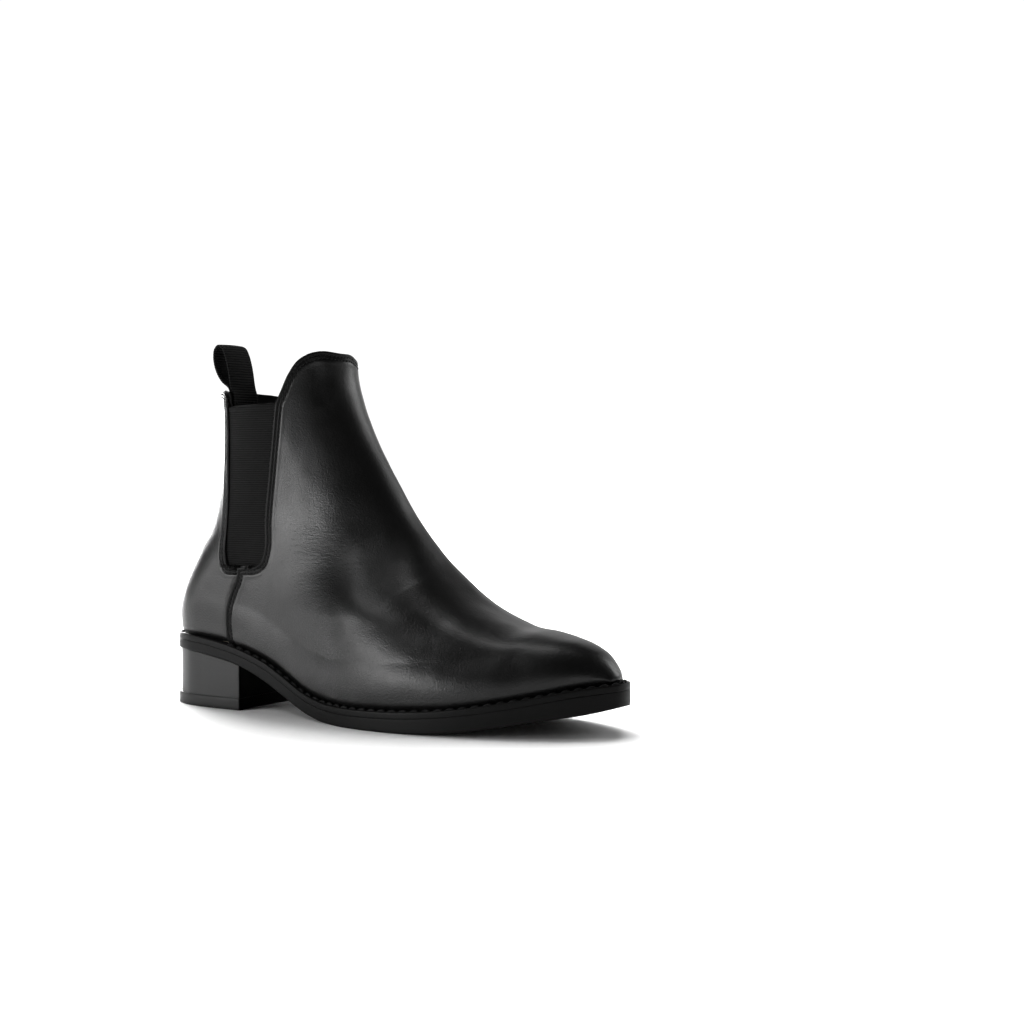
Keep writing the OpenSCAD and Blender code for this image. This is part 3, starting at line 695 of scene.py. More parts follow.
class Look(Graph):
    """A material, with the textures that the looks share."""

    def __init__(self, name):
        self.material = bpy.data.materials.new(name)
        super().__init__(self.material)
        self.shader = self.tree.nodes["Principled BSDF"]
        self.place = self.add("ShaderNodeTexCoord").outputs["Object"]

    def set(self, **values):
        for key, value in values.items():
            self.feed(self.shader.inputs[key.replace("_", " ")], value)
        return self.material

    def stretched(self, scale):
        return self.add("ShaderNodeMapping", {"Vector": self.place, "Scale": scale}).outputs[0]

    def noise(self, scale, detail=3.0, rough=0.55, vector=None):
        inputs = {"Vector": vector or self.place, "Scale": scale, "Detail": detail, "Roughness": rough}
        return self.add("ShaderNodeTexNoise", inputs).outputs["Fac"]

    def cells(self, scale, feature="F1"):
        inputs = {"Vector": self.place, "Scale": scale}
        return self.add("ShaderNodeTexVoronoi", inputs, feature=feature).outputs["Distance"]

    def wave(self, scale, direction, distortion=0.0, vector=None):
        inputs = {"Vector": vector or self.place, "Scale": scale, "Distortion": distortion,
                  "Detail": 1.0, "Detail Scale": 2.0}
        return self.add("ShaderNodeTexWave", inputs, bands_direction=direction).outputs["Fac"]

    def greys(self, factor, dark, light, low=0.3, high=0.7):
        return self.colours(factor, [(low, grey(dark)), (high, grey(light))])

    def colours(self, factor, stops):
        node = self.add("ShaderNodeValToRGB", {"Fac": factor})
        ramp = node.color_ramp
        while len(ramp.elements) < len(stops):
            ramp.elements.new(0.5)
        for element, (position, colour) in zip(ramp.elements, stops):
            element.position = position
            element.color = (*colour, 1)
        return node.outputs["Color"]

    def bump(self, height, strength, distance, after=None):
        inputs = {"Height": height, "Strength": strength, "Distance": distance * MM}
        if after is not None:
            inputs["Normal"] = after
        return self.add("ShaderNodeBump", inputs).outputs[0]

    def attribute(self, name):
        return self.add("ShaderNodeAttribute", attribute_name=name).outputs["Fac"]


def grey(value, warm=0.0):
    return (value * (1 + warm), value, value * (1 - warm))


def upper_leather():
    """Smooth black calf: fine grain, a soft polish, and a duller strip along its folded edges."""
    n = Look("upper_leather")
    edge = n.attribute("edge")
    pores = n.cells(1900)
    grain = n.cells(1050, feature="SMOOTH_F1")
    broad = n.noise(22, 3)
    folds = n.noise(1, 4, 0.6, n.stretched((170, 260, 640)))
    tone = n.math("MULTIPLY", broad, n.range(edge, 0, 1, 1, 1.35))
    height = n.math("ADD", n.math("MULTIPLY", pores, 0.6), n.math("MULTIPLY", grain, 0.8))
    height = n.math("ADD", height, n.math("MULTIPLY", n.noise(1500, 4), 0.5))
    grained = n.bump(height, 0.55, 0.16)
    folded = n.bump(n.math("MULTIPLY", folds, n.attribute("flex")), 0.5, 0.5, grained)
    rough = n.math("ADD", n.range(broad, 0.3, 0.7, 0.3, 0.38), n.math("MULTIPLY", edge, 0.08))
    return n.set(Base_Color=n.greys(tone, 0.003, 0.0058, high=0.75),
                 Roughness=n.math("ADD", rough, n.math("MULTIPLY", pores, 0.05)),
                 Specular_IOR_Level=n.range(n.attribute("strip"), 0, 1, 0.5, 0.13),
                 Coat_Weight=0.12, Coat_Roughness=0.28, Coat_IOR=1.45,
                 Normal=n.bump(broad, 0.25, 1.2, folded))


def elastic():
    """Dull ribbed elastic with a knit along each rib; painted shade makes its colour dark in the gaps
    between ribs, and painted light makes it lighter on their crests.
    """
    n = Look("elastic")
    fuzz = n.noise(1500, 3)
    # Painted shade and light: the rib mark darkens the colour in the gaps between ribs and lightens it on
    # the crests.
    tone = n.math("ADD", n.math("MULTIPLY", n.attribute("rib"), 0.6), n.math("MULTIPLY", fuzz, 0.4))
    height = n.math("ADD", n.math("MULTIPLY", n.wave(520, "X", 1.5), 0.6), fuzz)
    return n.set(Base_Color=n.greys(tone, 0.001, 0.017, 0.25, 0.8), Roughness=0.8, Specular_IOR_Level=0.1,
                 Sheen_Weight=0.02, Sheen_Roughness=0.5, Normal=n.bump(height, 0.5, 0.15))


def webbing():
    """Grosgrain tape: threads run along each rib; painted shade makes its colour dark in the gaps between
    ribs, and painted light makes it lighter on the crests.
    """
    n = Look("webbing")
    fuzz = n.noise(1300, 3)
    # Painted shade and light: the rib mark darkens the colour in the gaps between ribs and lightens it on
    # the crests.
    tone = n.math("ADD", n.math("MULTIPLY", n.attribute("rib"), 0.65), n.math("MULTIPLY", fuzz, 0.35))
    height = n.math("ADD", n.math("MULTIPLY", n.wave(430, "Y", 0.8), 0.5), fuzz)
    return n.set(Base_Color=n.greys(tone, 0.0003, 0.022, 0.4, 0.8), Roughness=0.7, Specular_IOR_Level=0.08,
                 Sheen_Weight=0.01, Sheen_Roughness=0.45, Normal=n.bump(height, 0.45, 0.15))


def lining():
    """Unpolished black lining leather with a faint nap."""
    n = Look("lining")
    nap = n.noise(700, 4)
    height = n.math("ADD", nap, n.math("MULTIPLY", n.cells(900), 0.5))
    return n.set(Base_Color=n.greys(n.noise(18, 2), 0.005, 0.009), Specular_IOR_Level=0.35,
                 Roughness=n.range(nap, 0.3, 0.7, 0.58, 0.72), Normal=n.bump(height, 0.3, 0.12))


def sock():
    """Smooth sock leather with a fine grain."""
    n = Look("sock")
    broad = n.noise(25, 3)
    height = n.math("ADD", n.noise(800, 4), n.math("MULTIPLY", n.cells(1000), 0.4))
    return n.set(Base_Color=n.greys(broad, 0.016, 0.03), Specular_IOR_Level=0.4,
                 Roughness=n.range(broad, 0.3, 0.7, 0.5, 0.62), Normal=n.bump(height, 0.25, 0.12))


def sole_rubber(name, tone, rough, shine=0.18):
    """Moulded rubber with faint horizontal scuffs and specks."""
    n = Look(name)
    scuffs = n.noise(1, 5, 0.6, n.stretched((90, 90, 1100)))
    worn = n.math("ADD", n.math("MULTIPLY", scuffs, 0.5), n.math("MULTIPLY", n.noise(30, 3), 0.5))
    height = n.math("ADD", n.noise(420, 4), n.math("MULTIPLY", scuffs, 0.7))
    return n.set(Base_Color=n.greys(worn, tone * 0.7, tone * 1.25), Specular_IOR_Level=shine,
                 Roughness=n.range(worn, 0.3, 0.7, rough, rough + 0.12), Normal=n.bump(height, 0.3, 0.12))


def tread_rubber():
    """Underside of the sole: fine diamond ribs that grip."""
    n = Look("tread_rubber")
    eighth_turn = (0, 0, 0.785)
    turned = n.add("ShaderNodeMapping", {"Vector": n.place, "Rotation": eighth_turn}).outputs[0]
    ribs = n.math("MAXIMUM", n.wave(155, "X", vector=turned), n.wave(155, "Y", vector=turned))
    dust = n.noise(60, 4)
    return n.set(Base_Color=n.greys(dust, 0.012, 0.026, high=0.75), Specular_IOR_Level=0.35,
                 Roughness=n.range(dust, 0.3, 0.7, 0.55, 0.75), Normal=n.bump(ribs, 0.9, 0.5))


def thread(name, tone):
    """Waxed black thread with a twist."""
    n = Look(name)
    fuzz = n.noise(2000, 2)
    twist = n.math("ADD", n.wave(900, "DIAGONAL", 0.5), fuzz)
    return n.set(Base_Color=n.greys(fuzz, tone * 0.6, tone * 1.5), Specular_IOR_Level=0.3,
                 Roughness=n.range(fuzz, 0.3, 0.7, 0.5, 0.68), Normal=n.bump(twist, 0.5, 0.1))


def fibre_board():
    """Pressed cellulose board, speckled with fibres."""
    n = Look("fibre_board")
    flecks = n.noise(1, 5, 0.65, n.stretched((220, 900, 500)))
    return n.set(Base_Color=n.colours(flecks, [(0.35, (0.32, 0.22, 0.12)), (0.7, (0.52, 0.4, 0.25))]),
                 Roughness=n.range(flecks, 0.3, 0.7, 0.75, 0.9), Normal=n.bump(flecks, 0.4, 0.2))


def stiffener():
    """Glued non-woven stiffener."""
    n = Look("stiffener")
    mat = n.noise(500, 5)
    return n.set(Base_Color=n.colours(mat, [(0.35, (0.55, 0.5, 0.4)), (0.7, (0.72, 0.67, 0.56))]),
                 Roughness=n.range(mat, 0.3, 0.7, 0.7, 0.9), Normal=n.bump(mat, 0.5, 0.15))


def foam():
    """Open foam of the heel cushion."""
    n = Look("foam")
    bubbles = n.cells(900)
    return n.set(Base_Color=n.colours(bubbles, [(0.1, (0.5, 0.47, 0.4)), (0.6, (0.78, 0.75, 0.68))]),
                 Roughness=n.range(bubbles, 0, 0.6, 0.95, 0.8), Normal=n.bump(bubbles, 0.6, 0.3))


def cork():
    """Pressed cork granules."""
    n = Look("cork")
    grains = n.cells(380)
    shade = n.noise(160, 4)
    tone = n.math("MULTIPLY", grains, shade)
    return n.set(Base_Color=n.colours(tone, [(0.05, (0.16, 0.08, 0.035)), (0.35, (0.46, 0.29, 0.15))]),
                 Roughness=n.range(shade, 0.3, 0.7, 0.75, 0.9), Normal=n.bump(grains, 0.6, 0.3))


def steel(name, tone, warm):
    """Plain steel with fine scratches."""
    n = Look(name)
    scratches = n.noise(1, 4, 0.6, n.stretched((60, 900, 400)))
    return n.set(Base_Color=n.colours(scratches, [(0.3, grey(tone * 0.8, warm)), (0.7, grey(tone, warm))]),
                 Roughness=n.range(scratches, 0.3, 0.7, 0.28, 0.45), Metallic=1.0,
                 Normal=n.bump(scratches, 0.2, 0.05))


def paper_floor():
    """Seamless white paper of the studio, glowing away from the boot as a lit sweep does."""
    n = Look("paper_floor")
    tooth = n.noise(300, 3)
    far = n.add("ShaderNodeVectorMath", {0: n.place}, operation="LENGTH").outputs["Value"]
    return n.set(Base_Color=n.greys(tooth, 0.9, 0.93, 0.2, 0.8), Roughness=0.8, Specular_IOR_Level=0.2,
                 Emission_Color=(1, 1, 1, 1), Emission_Strength=n.range(far, 0.3, 1.3, 0, 1, "SMOOTHSTEP"),
                 Normal=n.bump(tooth, 0.05, 0.1))


LEATHER_LOOK = upper_leather()
ELASTIC_LOOK = elastic()
WEBBING_LOOK = webbing()
LINING_LOOK = lining()
SOCK_LOOK = sock()
EDGE_LOOK = sole_rubber("welt_rubber", 0.0055, 0.4)
SOLE_LOOK = sole_rubber("sole_rubber", 0.006, 0.44)
HEEL_LOOK = sole_rubber("heel_stack", 0.012, 0.4, 0.45)
LIFT_LOOK = sole_rubber("lift_rubber", 0.011, 0.44, 0.4)
# Painted shade: near-black, dull rubber for the heel's front face, standing in for the shade under the
# arch.
BREAST_SHADE_LOOK = sole_rubber("heel_breast_shade", 0.002, 0.65, 0.03)
TREAD_LOOK = tread_rubber()
SEWING_LOOK = thread("sewing_thread", 0.005)
WELT_THREAD_LOOK = thread("welt_thread", 0.006)


def finish_piece(obj, slot, *nodes):
    """A piece that rides on the boot, and the CAD nodes that it stands for; slot is not used."""
    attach(obj, "boot")
    if nodes:
        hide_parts(*nodes)


# ---------------------------------------------------------------- upper pieces
def fold_distance(grid, side_rows):
    """Distance to the folded edges: the top, and both sides along the given rows."""
    folds = (grid[0], grid[side_rows, 0], grid[side_rows, -1])
    return np.minimum.reduce([distance_to(grid, line) for line in folds])


def leather_pieces(node, grid, shape, thick, edge, flex):
    """A panel of leather, raised by shape over its grid, and its two rows of stitches."""
    shaped = grid + normals_of(grid) * shape[..., None]
    normal = normals_of(shaped)
    marks = {"edge": np.exp(-edge / 1.2), "strip": ease((STRIP - edge) / 0.7), "flex": flex}
    leather = panel(node + "_leather", shaped, normal, thick, LEATHER_LOOK, marks)
    finish_piece(leather, "upper_leather", node)
    lines = [contour(edge, at, shaped, normal) for at in STITCH_ROWS]
    finish_piece(stitches(node + "_stitching", lines, SEWING_LOOK), "thread")


SEAM_RISE = 1.1  # how far the front panel rises over the back panel at the side seam
SEAM_RISE_RUN = 13.0
SEAM_SINK = 0.75  # how far the back panel sinks under it


def vamp_pieces():
    v = denser_between(close_at_start(0.0011, 1.1, 0.0036) * 0.9985, 0.27, 0.41, 3)
    t = close_at_both_ends(121)
    grid = both_sides(vamp_half, v, t)
    edge_rows = v <= CORNER_ROW[2]
    seam_rows = edge_rows & (v >= CORNER_ROW[1])
    edge = fold_distance(grid, edge_rows)
    seam = np.minimum(distance_to(grid, grid[seam_rows, 0]), distance_to(grid, grid[seam_rows, -1]))
    lap = SEAM_RISE * (1 - ease(seam / SEAM_RISE_RUN))
    shape = folded_edge(edge) + lap + waviness(grid, 26, 0.5) + waviness(grid, 9, 0.1) + vamp_creases(grid)
    room = room_at_toe(grid)
    shape = (shape - tuck_at_sole(grid)) * np.minimum(room / 4, 1)
    leather_pieces("vamp", grid, shape, np.minimum(LEATHER, room), edge, vamp_flex(grid))


def vamp_flex(grid):
    """Where walking and the last's curve leave fine wrinkles: the ankle's bend and the toe joint."""
    ankle = soft_line(grid, (88, 100), (150, 78), 20)
    joint = soft_line(grid, (190, 58), (200, 30), 16)
    return np.clip(ankle + 0.8 * joint, 0, 1)


CREASES = (  # height, start and end in side view, width, side (None for both)
    (-0.9, (124, 118), (168, 68), 9, None),
    (0.5, (196, 52), (236, 41), 6, OUTER),
    (-0.45, (200, 36), (246, 33), 6, OUTER),
    (-0.35, (94, 170), (108, 128), 7, None),
    (-0.6, (103.2, 192), (108.5, 166), 2.8, OUTER),
    (0.5, (107.4, 192), (111.8, 166), 2.4, OUTER),
    (0.3, (80, 70), (125, 50), 12, None),
)


def vamp_creases(grid):
    """Soft dents and folds, as a height."""
    return sum(height * soft_line(grid, *line) for height, *line in CREASES)


def quarter_pieces():
    v = denser_between(close_at_start(0.0022, 1.1, 0.0068), 0.48, 0.69, 4)
    t = close_at_both_ends(91)
    grid = both_sides(quarter_half, v, t, SEAM_LAP)
    edge = fold_distance(grid, v <= QUARTER_SEAM_ROW)
    seam_lines = [outer_point(along(SEAM, np.linspace(0, 1, 120)), side) for side in (OUTER, INNER)]
    under = np.zeros(grid.shape[:2])
    for line in seam_lines:
        ahead = grid[..., 0] - np.interp(grid[..., 2], line[::-1, 2], line[::-1, 0])
        below = ease((79.5 - grid[..., 2]) / 3)
        under = np.maximum(under, ease((ahead + 4) / 4) * below)
    shape = folded_edge(edge) - SEAM_SINK * under + waviness(grid + 300, 24, 0.4) + waviness(grid, 9, 0.08)
    flex = 0.35 * soft_line(grid, (25, 110), (50, 100), 14)
    leather_pieces("quarter", grid, shape - tuck_at_sole(grid), LEATHER, edge, flex)


RIB_PITCH = 1.2
RIB_HEIGHT = 0.14


def gore_piece(side, name):
    """Ribbed elastic, sewn in behind the leather."""
    rows = 640
    columns = 44
    v = np.linspace(0, 1, rows)
    u = np.linspace(0, 1, columns)
    grid = gore_half(v, u, side)
    if side == INNER:
        grid = grid[:, ::-1]
    normal = normals_of(grid)
    if (normal[..., 1] * side).sum() < 0:
        normal = -normal
    phase = np.pi * grid[..., 2] / RIB_PITCH + 0.5 * waviness(grid, 20, 1.0)
    rib = np.abs(np.sin(phase)) ** 0.7
    top = distance_to(grid, grid[0])
    hem = 0.25 * bump_at(top, 1.2, 1.0) - 0.2 * bump_at(top, 2.8, 0.3)
    puff = waviness(grid + 50, 14, 0.25)
    depth = MIDDLE_DEPTH - RIB_HEIGHT * rib - hem - puff
    face = grid - normal * depth[..., None]
    # The rib mark also paints shade into the elastic's colour, dark in the gaps between ribs.
    obj = panel(name + "_elastic", face, normal, MIDDLE, ELASTIC_LOOK, {"rib": rib}, rings=4)
    finish_piece(obj, "elastic", name)


def lining_pieces():
    v = close_at_start(0.003, 1.15, 0.009) * 0.9985
    t = close_at_both_ends(49)
    low_rows = close_at_start(0.005, 1.15, 0.02)
    halves = (("vamp_lining", vamp_half, v, ()), ("quarter_lining", quarter_half, low_rows, (0.3,)))
    for name, half, rows, args in halves:
        grid = both_sides(half, rows, t, *args)
        room = room_at_toe(grid)
        normal = normals_of(grid)
        top = distance_to(grid, grid[0])
        depth = LINING_DEPTH - 1.75 * (1 - ease(top / 9)) - waviness(grid + 90, 18, 0.3)
        face = grid - normal * np.minimum(depth, 0.75 * room)[..., None]
        thick = np.minimum(LINING, 0.2 * room)
        obj = panel(name + "_skin", face, normal, thick, LINING_LOOK, rings=5)
        finish_piece(obj, "lining", name)


# ---------------------------------------------------------------- pull tab
WEB_RIB = 1.45
WEB_RIB_HEIGHT = 0.36
WEB_FOOT_Z = 152.0  # lower end of the tape, sewn inside
WEB_TOP_Z = 174.2  # where the tape leaves the lining
WEB_BACK = 6.7  # middle of the tape's front leg, in front of the back of the upper
WEB_GAP = 1.5  # between its two legs
BEND_DEPTH = 42.0  # depth and power of the leg's round section at the back
BEND_POWER = 2.05


def bend_at_back(y, z):
    """How far the leg's round section lies in front of its back, at y and height z."""
    share = np.abs(y) / curve(LEG_HALF_BY_HEIGHT, z)
    return BEND_DEPTH * (1 - (1 - share**BEND_POWER) ** (1 / BEND_POWER))


def tab_path():
    """Middle line of the tape in side view: up the inside, round the loop and down again."""
    z = np.linspace(WEB_FOOT_Z, WEB_TOP_Z, 24)
    back = curve(BACK_BY_HEIGHT, z)
    front_leg = np.column_stack([back + WEB_BACK, z])
    rear_leg = np.column_stack([back + WEB_BACK - WEB_GAP, z])[::-1]
    line = np.vstack([front_leg, np.array(LOOP), rear_leg])
    return along(line, np.linspace(0, 1, 1100))


def pull_tab_piece():
    path = tab_path()
    ahead = unit(np.gradient(path, axis=0))
    off = np.column_stack([ahead[:, 1], -ahead[:, 0]])
    s = lengths(path)
    y = np.linspace(-1, 1, 25) * TAB_WIDTH / 2
    rib = np.abs(np.sin(np.pi * s / WEB_RIB)) ** 0.55
    bend = bend_at_back(y[None, :], path[:, 1:])
    bend = bend * (1 - ease((path[:, 1] - 171) / 12))[:, None]
    dip = 0.35 * np.cos(np.pi * y / TAB_WIDTH)[None, :] * ease((path[:, 1] - 178) / 8)[:, None]
    x = path[:, None, 0] + bend + off[:, None, 0] * dip
    z = path[:, None, 1] + off[:, None, 1] * dip
    grid = np.stack([x, np.broadcast_to(y, bend.shape), z], -1)
    normal = np.zeros(grid.shape)
    normal[..., [0, 2]] = off[:, None]
    high = WEB_RIB_HEIGHT * (rib - 0.6)[:, None] * (1 - 0.5 * (np.abs(y) * 2 / TAB_WIDTH)[None, :] ** 12)
    face = grid + normal * (TAB_THICK / 2 - 0.1 + high)[..., None]
    # The rib mark also paints shade into the tape's colour, dark in the gaps between ribs.
    marks = {"rib": np.broadcast_to(rib[:, None], bend.shape).copy()}
    thick = TAB_THICK - 0.2 + 2 * high
    obj = panel("pull_tab_webbing", face, normal, thick, WEBBING_LOOK, marks, rings=4, bulge=0.8)
    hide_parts("pull_tab", "pull_tab_anchor")
    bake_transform(obj)
    box_stitching()


def box_stitching():
    """Square of stitches, with a cross, that holds the tape to the lining."""
    low = 155.0
    high = 170.0
    wide = 7.5
    corners = [(-wide, low), (wide, low), (wide, high), (-wide, high), (-wide, low), (wide, high)]
    lines = []
    for runs in (corners, [(-wide, high), (wide, low)]):
        flat = np.array(runs, float)
        s = lengths(flat)
        at = np.linspace(0, s[-1], 160)
        y = np.interp(at, s, flat[:, 0])
        z = np.interp(at, s, flat[:, 1])
        x = curve(BACK_BY_HEIGHT, z) + WEB_BACK + TAB_THICK / 2 + bend_at_back(y, z)
        lines.append((np.column_stack([x, y, z]), np.tile((1.0, 0.0, 0.0), (len(at), 1))))
    obj = stitches("pull_tab_stitching", lines, SEWING_LOOK)
    finish_piece(obj, "thread")


# ---------------------------------------------------------------- sole and heel
def sole_ring(inset, heights, lift=0.0):
    """Outline moved in by inset, at a height read from a table and lifted."""
    xy = OUTLINE - OUTLINE_NORMAL * inset
    z = curve(heights, np.clip(xy[:, 0], 0, SOLE_LENGTH)) + lift
    return np.column_stack([xy, np.maximum(z, 0)])


def towards_spine(ring, share, heights, lift=0.0):
    """Ring drawn in towards the middle line of the foot."""
    x = np.clip(ring[:, 0], 26, SOLE_LENGTH - 34)
    y = (curve(INNER_HALF, x) - curve(OUTER_HALF, x)) / 2
    spine = np.column_stack([x, y])
    xy = mix(ring[:, :2], spine, share)
    z = curve(heights, np.clip(xy[:, 0], 0, SOLE_LENGTH)) + lift
    return np.column_stack([xy, np.maximum(z, 0)])


def welt_piece():
    """Rubber rand round the upper: a groove for the stitches, then a rounded lip."""
    profile = [(10.4, -2.9), (10.4, -0.6), (9.6, -0.15), (5.2, -0.1), (3.9, -0.2), (3.4, -0.75),
               (2.9, -0.95), (1.7, -0.95), (1.3, -0.7), (1.1, -0.1), (0.85, 0.12), (0.5, 0.15),
               (0.22, 0.0), (0.06, -0.3), (0.0, -0.8), (0.0, -1.6), (0.0, -2.7), (0.02, -3.15),
               (0.08, -3.33), (0.25, -3.39), (4.0, -3.39)]
    rings = [sole_ring(d, WELT_TOP, z) for d, z in profile]
    obj = ring_body("welt_rand", rings, EDGE_LOOK, cyclic=True)
    finish_piece(obj, "welt_rubber", "welt")


def outsole_piece():
    """Outsole, with a plain edge and a patterned underside."""
    top = [(7.0, -WELT_THICK), (0.25, -WELT_THICK), (0.1, -3.43), (0.02, -3.53), (0.0, -3.9)]
    rings = [towards_spine(sole_ring(12, WELT_TOP), 0.8, WELT_TOP, -WELT_THICK)]
    rings += [sole_ring(d, WELT_TOP, z) for d, z in top]
    edge_top = sole_ring(0, WELT_TOP, -3.9)
    edge_foot = sole_ring(0, SOLE_UNDER, 1.1)
    rings += [mix(edge_top, edge_foot, share) for share in (0.25, 0.5, 0.75)]
    edge_rings = len(rings)
    under = [(0.0, 1.1), (0.05, 0.4), (0.2, 0.12), (0.5, 0.0), (6.0, 0.0), (6.5, 0.15), (6.9, 0.55)]
    rings += [sole_ring(d, SOLE_UNDER, z) for d, z in under]
    tread = sole_ring(7.2, SOLE_UNDER)
    rings += [towards_spine(tread, share, SOLE_UNDER, 0.6) for share in (0.0, 0.2, 0.4, 0.6, 0.8, 0.97)]
    obj = ring_body("outsole_unit", rings, SOLE_LOOK)
    obj.data.materials.append(TREAD_LOOK)
    first = (edge_rings + len(under) - 1) * len(OUTLINE)
    for face in obj.data.polygons:
        if min(face.vertices) >= first:
            face.material_index = 1
    finish_piece(obj, "sole_rubber", "outsole")


def heel_ring(inset, breast_back=0.0, waist=0.0):
    """Outline of the heel, round the back, with rounded corners and a hollow front face.

    breast_back moves the front face back, waist draws the back in.
    """
    front = BREAST_X - breast_back
    at_back = waist * ease((30 - OUTLINE[:, :1]) / 26)
    xy = OUTLINE - OUTLINE_NORMAL * (inset + at_back)
    y_out = np.interp(front, *np.transpose(OUTER_HALF)) - inset
    y_in = np.interp(front, *np.transpose(INNER_HALF)) - inset
    corner = 1.6
    outer = xy[(xy[:, 1] < 0) & (xy[:, 0] < front - corner) & (np.arange(len(xy)) < len(xy) / 2)]
    inner = xy[(xy[:, 0] < front - corner) & (np.arange(len(xy)) >= len(xy) / 2)]
    back = np.vstack([inner, xy[:1], outer])
    back = along(back[lengths_keep(back)], np.linspace(0, 1, 200))
    radius = (BREAST_HALF**2 + BREAST_HOLLOW**2) / (2 * BREAST_HOLLOW)
    y = np.linspace(-y_out + corner, y_in - corner, 50)
    x = front - BREAST_HOLLOW + radius - np.sqrt(radius**2 - y * y)
    face = np.column_stack([x, y])
    turn_a = bend_corner(back[-1], (front, -y_out), face[0])
    turn_b = bend_corner(face[-1], (front, y_in), back[0])
    return np.vstack([back, turn_a, face, turn_b])


def lengths_keep(points):
    gap = np.linalg.norm(np.diff(points, axis=0), axis=1)
    return np.concatenate([[True], gap > 1e-6])


def bend_corner(start, corner, end, count=7):
    """Points on a round corner between two straight runs."""
    t = np.linspace(0, 1, count + 2)[1:-1, None]
    a, c, b = np.array(start), np.array(corner), np.array(end)
    return a * (1 - t) ** 2 + 2 * c * t * (1 - t) + b * t**2


def at_height(xy, z):
    return np.column_stack([xy, np.broadcast_to(z, len(xy))])


HEEL_MIDDLE = (31.0, 0.0)


def drawn_in(ring, share):
    xy = mix(ring[:, :2], np.array(HEEL_MIDDLE), share)
    return np.column_stack([xy, ring[:, 2]])


def paint_front_shade(obj):
    """Painted shade: darker, unpolished rubber on the heel's front face, standing in for the shade under
    the arch.
    """
    obj.data.materials.append(BREAST_SHADE_LOOK)
    near_front = place((BREAST_X - 6, 0, 0))[0]
    for face in obj.data.polygons:
        if face.normal.x > 0.8 and face.center.x > near_front:
            face.material_index = 1


def capped(rings):
    """Rings with end faces that are drawn in towards the heel's middle."""
    before = [drawn_in(rings[0], share) for share in (0.95, 0.5)]
    after = [drawn_in(rings[-1], share) for share in (0.5, 0.95)]
    return before + rings + after


def heel_pieces():
    """The stack, waisted a little between its ends, and the rubber piece below it."""
    rings = []
    levels = [(0.0, 0.25), (0.012, 0.12), (0.04, 0.06), (0.2, 0.2), (0.4, 0.3), (0.6, 0.3), (0.8, 0.15),
              (0.95, 0.0), (0.99, 0.04), (1.0, 0.15)]
    for share, inset in levels:
        xy = heel_ring(0.12, waist=BLOCK_INSET + inset)
        top = curve(SOLE_UNDER, np.clip(xy[:, 0], 0, SOLE_LENGTH)) - 0.05
        rings.append(at_height(xy, mix(LIFT + 0.02, top, share)))
    block = ring_body("heel_stack", capped(rings), HEEL_LOOK)
    # Painted shade on the front face: darker, duller rubber.
    paint_front_shade(block)
    finish_piece(block, "heel_stack", "heel_block")
    tread = [at_height(heel_ring(d, d), z) for d, z in ((6.4, 0.5), (6.0, 0.45), (5.6, 0.0))]
    levels = [(0.4, 0.0), (0.12, 0.12), (0.0, 0.4), (0.0, 2.0), (0.0, 4.5), (0.0, LIFT - 0.25),
              (0.05, LIFT - 0.05), (0.2, LIFT)]
    edge = [at_height(heel_ring(d, max(d - 0.1, 0)), z) for d, z in levels]
    lift = ring_body("heel_top_piece", capped(tread + edge), LIFT_LOOK)
    # Painted shade on the front face: darker, duller rubber.
    paint_front_shade(lift)
    lift.data.materials.append(TREAD_LOOK)
    for face in lift.data.polygons:
        if max(face.vertices) < len(tread) * len(tread[0]):
            face.material_index = 2
    finish_piece(lift, "lift_rubber", "top_lift")


def welt_stitching():
    """Heavy thread that lies in the welt's groove, from side seam to side seam."""
    inset = 2.3
    xy = OUTLINE - OUTLINE_NORMAL * inset
    z = curve(WELT_TOP, np.clip(xy[:, 0], 0, SOLE_LENGTH)) - 0.35
    line = np.column_stack([xy, z])[OUTLINE[:, 0] > 50]
    up = np.tile((0.0, 0.0, 1.0), (len(line), 1))
    obj = stitches("welt_thread", [(line, up)], WELT_THREAD_LOOK, pitch=6.5, radius=0.85, length=0.86,
                   lean=0.1, arch=0.9, around=12, steps=13)
    finish_piece(obj, "thread", "welt_stitch")


# ---------------------------------------------------------------- inside
def cushion_top(x):
    return CUSHION * (1 - ease((x - 48) / 26))


def inner_ring(inset, lift):
    xy = OUTLINE - OUTLINE_NORMAL * inset
    x = np.clip(xy[:, 0], 0, SOLE_LENGTH)
    return np.column_stack([xy, curve(WELT_TOP, x) + BOARD + cushion_top(x) + lift])


def inner_fill(ring, share, lift):
    inside = towards_spine(ring, share, WELT_TOP)
    x = inside[:, 0]
    dish = -0.7 * share * np.exp(-(((x - 34) / 26) ** 2)) - 0.5 * share * np.exp(-(((x - 190) / 34) ** 2))
    z = curve(WELT_TOP, x) + BOARD + cushion_top(x) + lift
    inside[:, 2] = z + dish * (lift > 0.5)
    return inside


def sock_piece():
    """Sock liner, dished a little under the heel and the ball, with a raised rim."""
    rings = [inner_fill(inner_ring(10.6, 0), s, 0.05) for s in (0.96, 0.6, 0.3)]
    rim = [(10.6, 0.05), (9.9, 0.25), (9.8, 0.9), (10.1, 1.7), (10.8, 1.9), (12.0, 1.6), (14.0, SOCK)]
    rings += [inner_ring(inset, lift) for inset, lift in rim]
    rings += [inner_fill(inner_ring(14.0, SOCK), s, SOCK) for s in (0.15, 0.3, 0.5, 0.7, 0.85, 0.96)]
    obj = ring_body("sock_leather", rings, SOCK_LOOK)
    finish_piece(obj, "sock", "sock_liner")


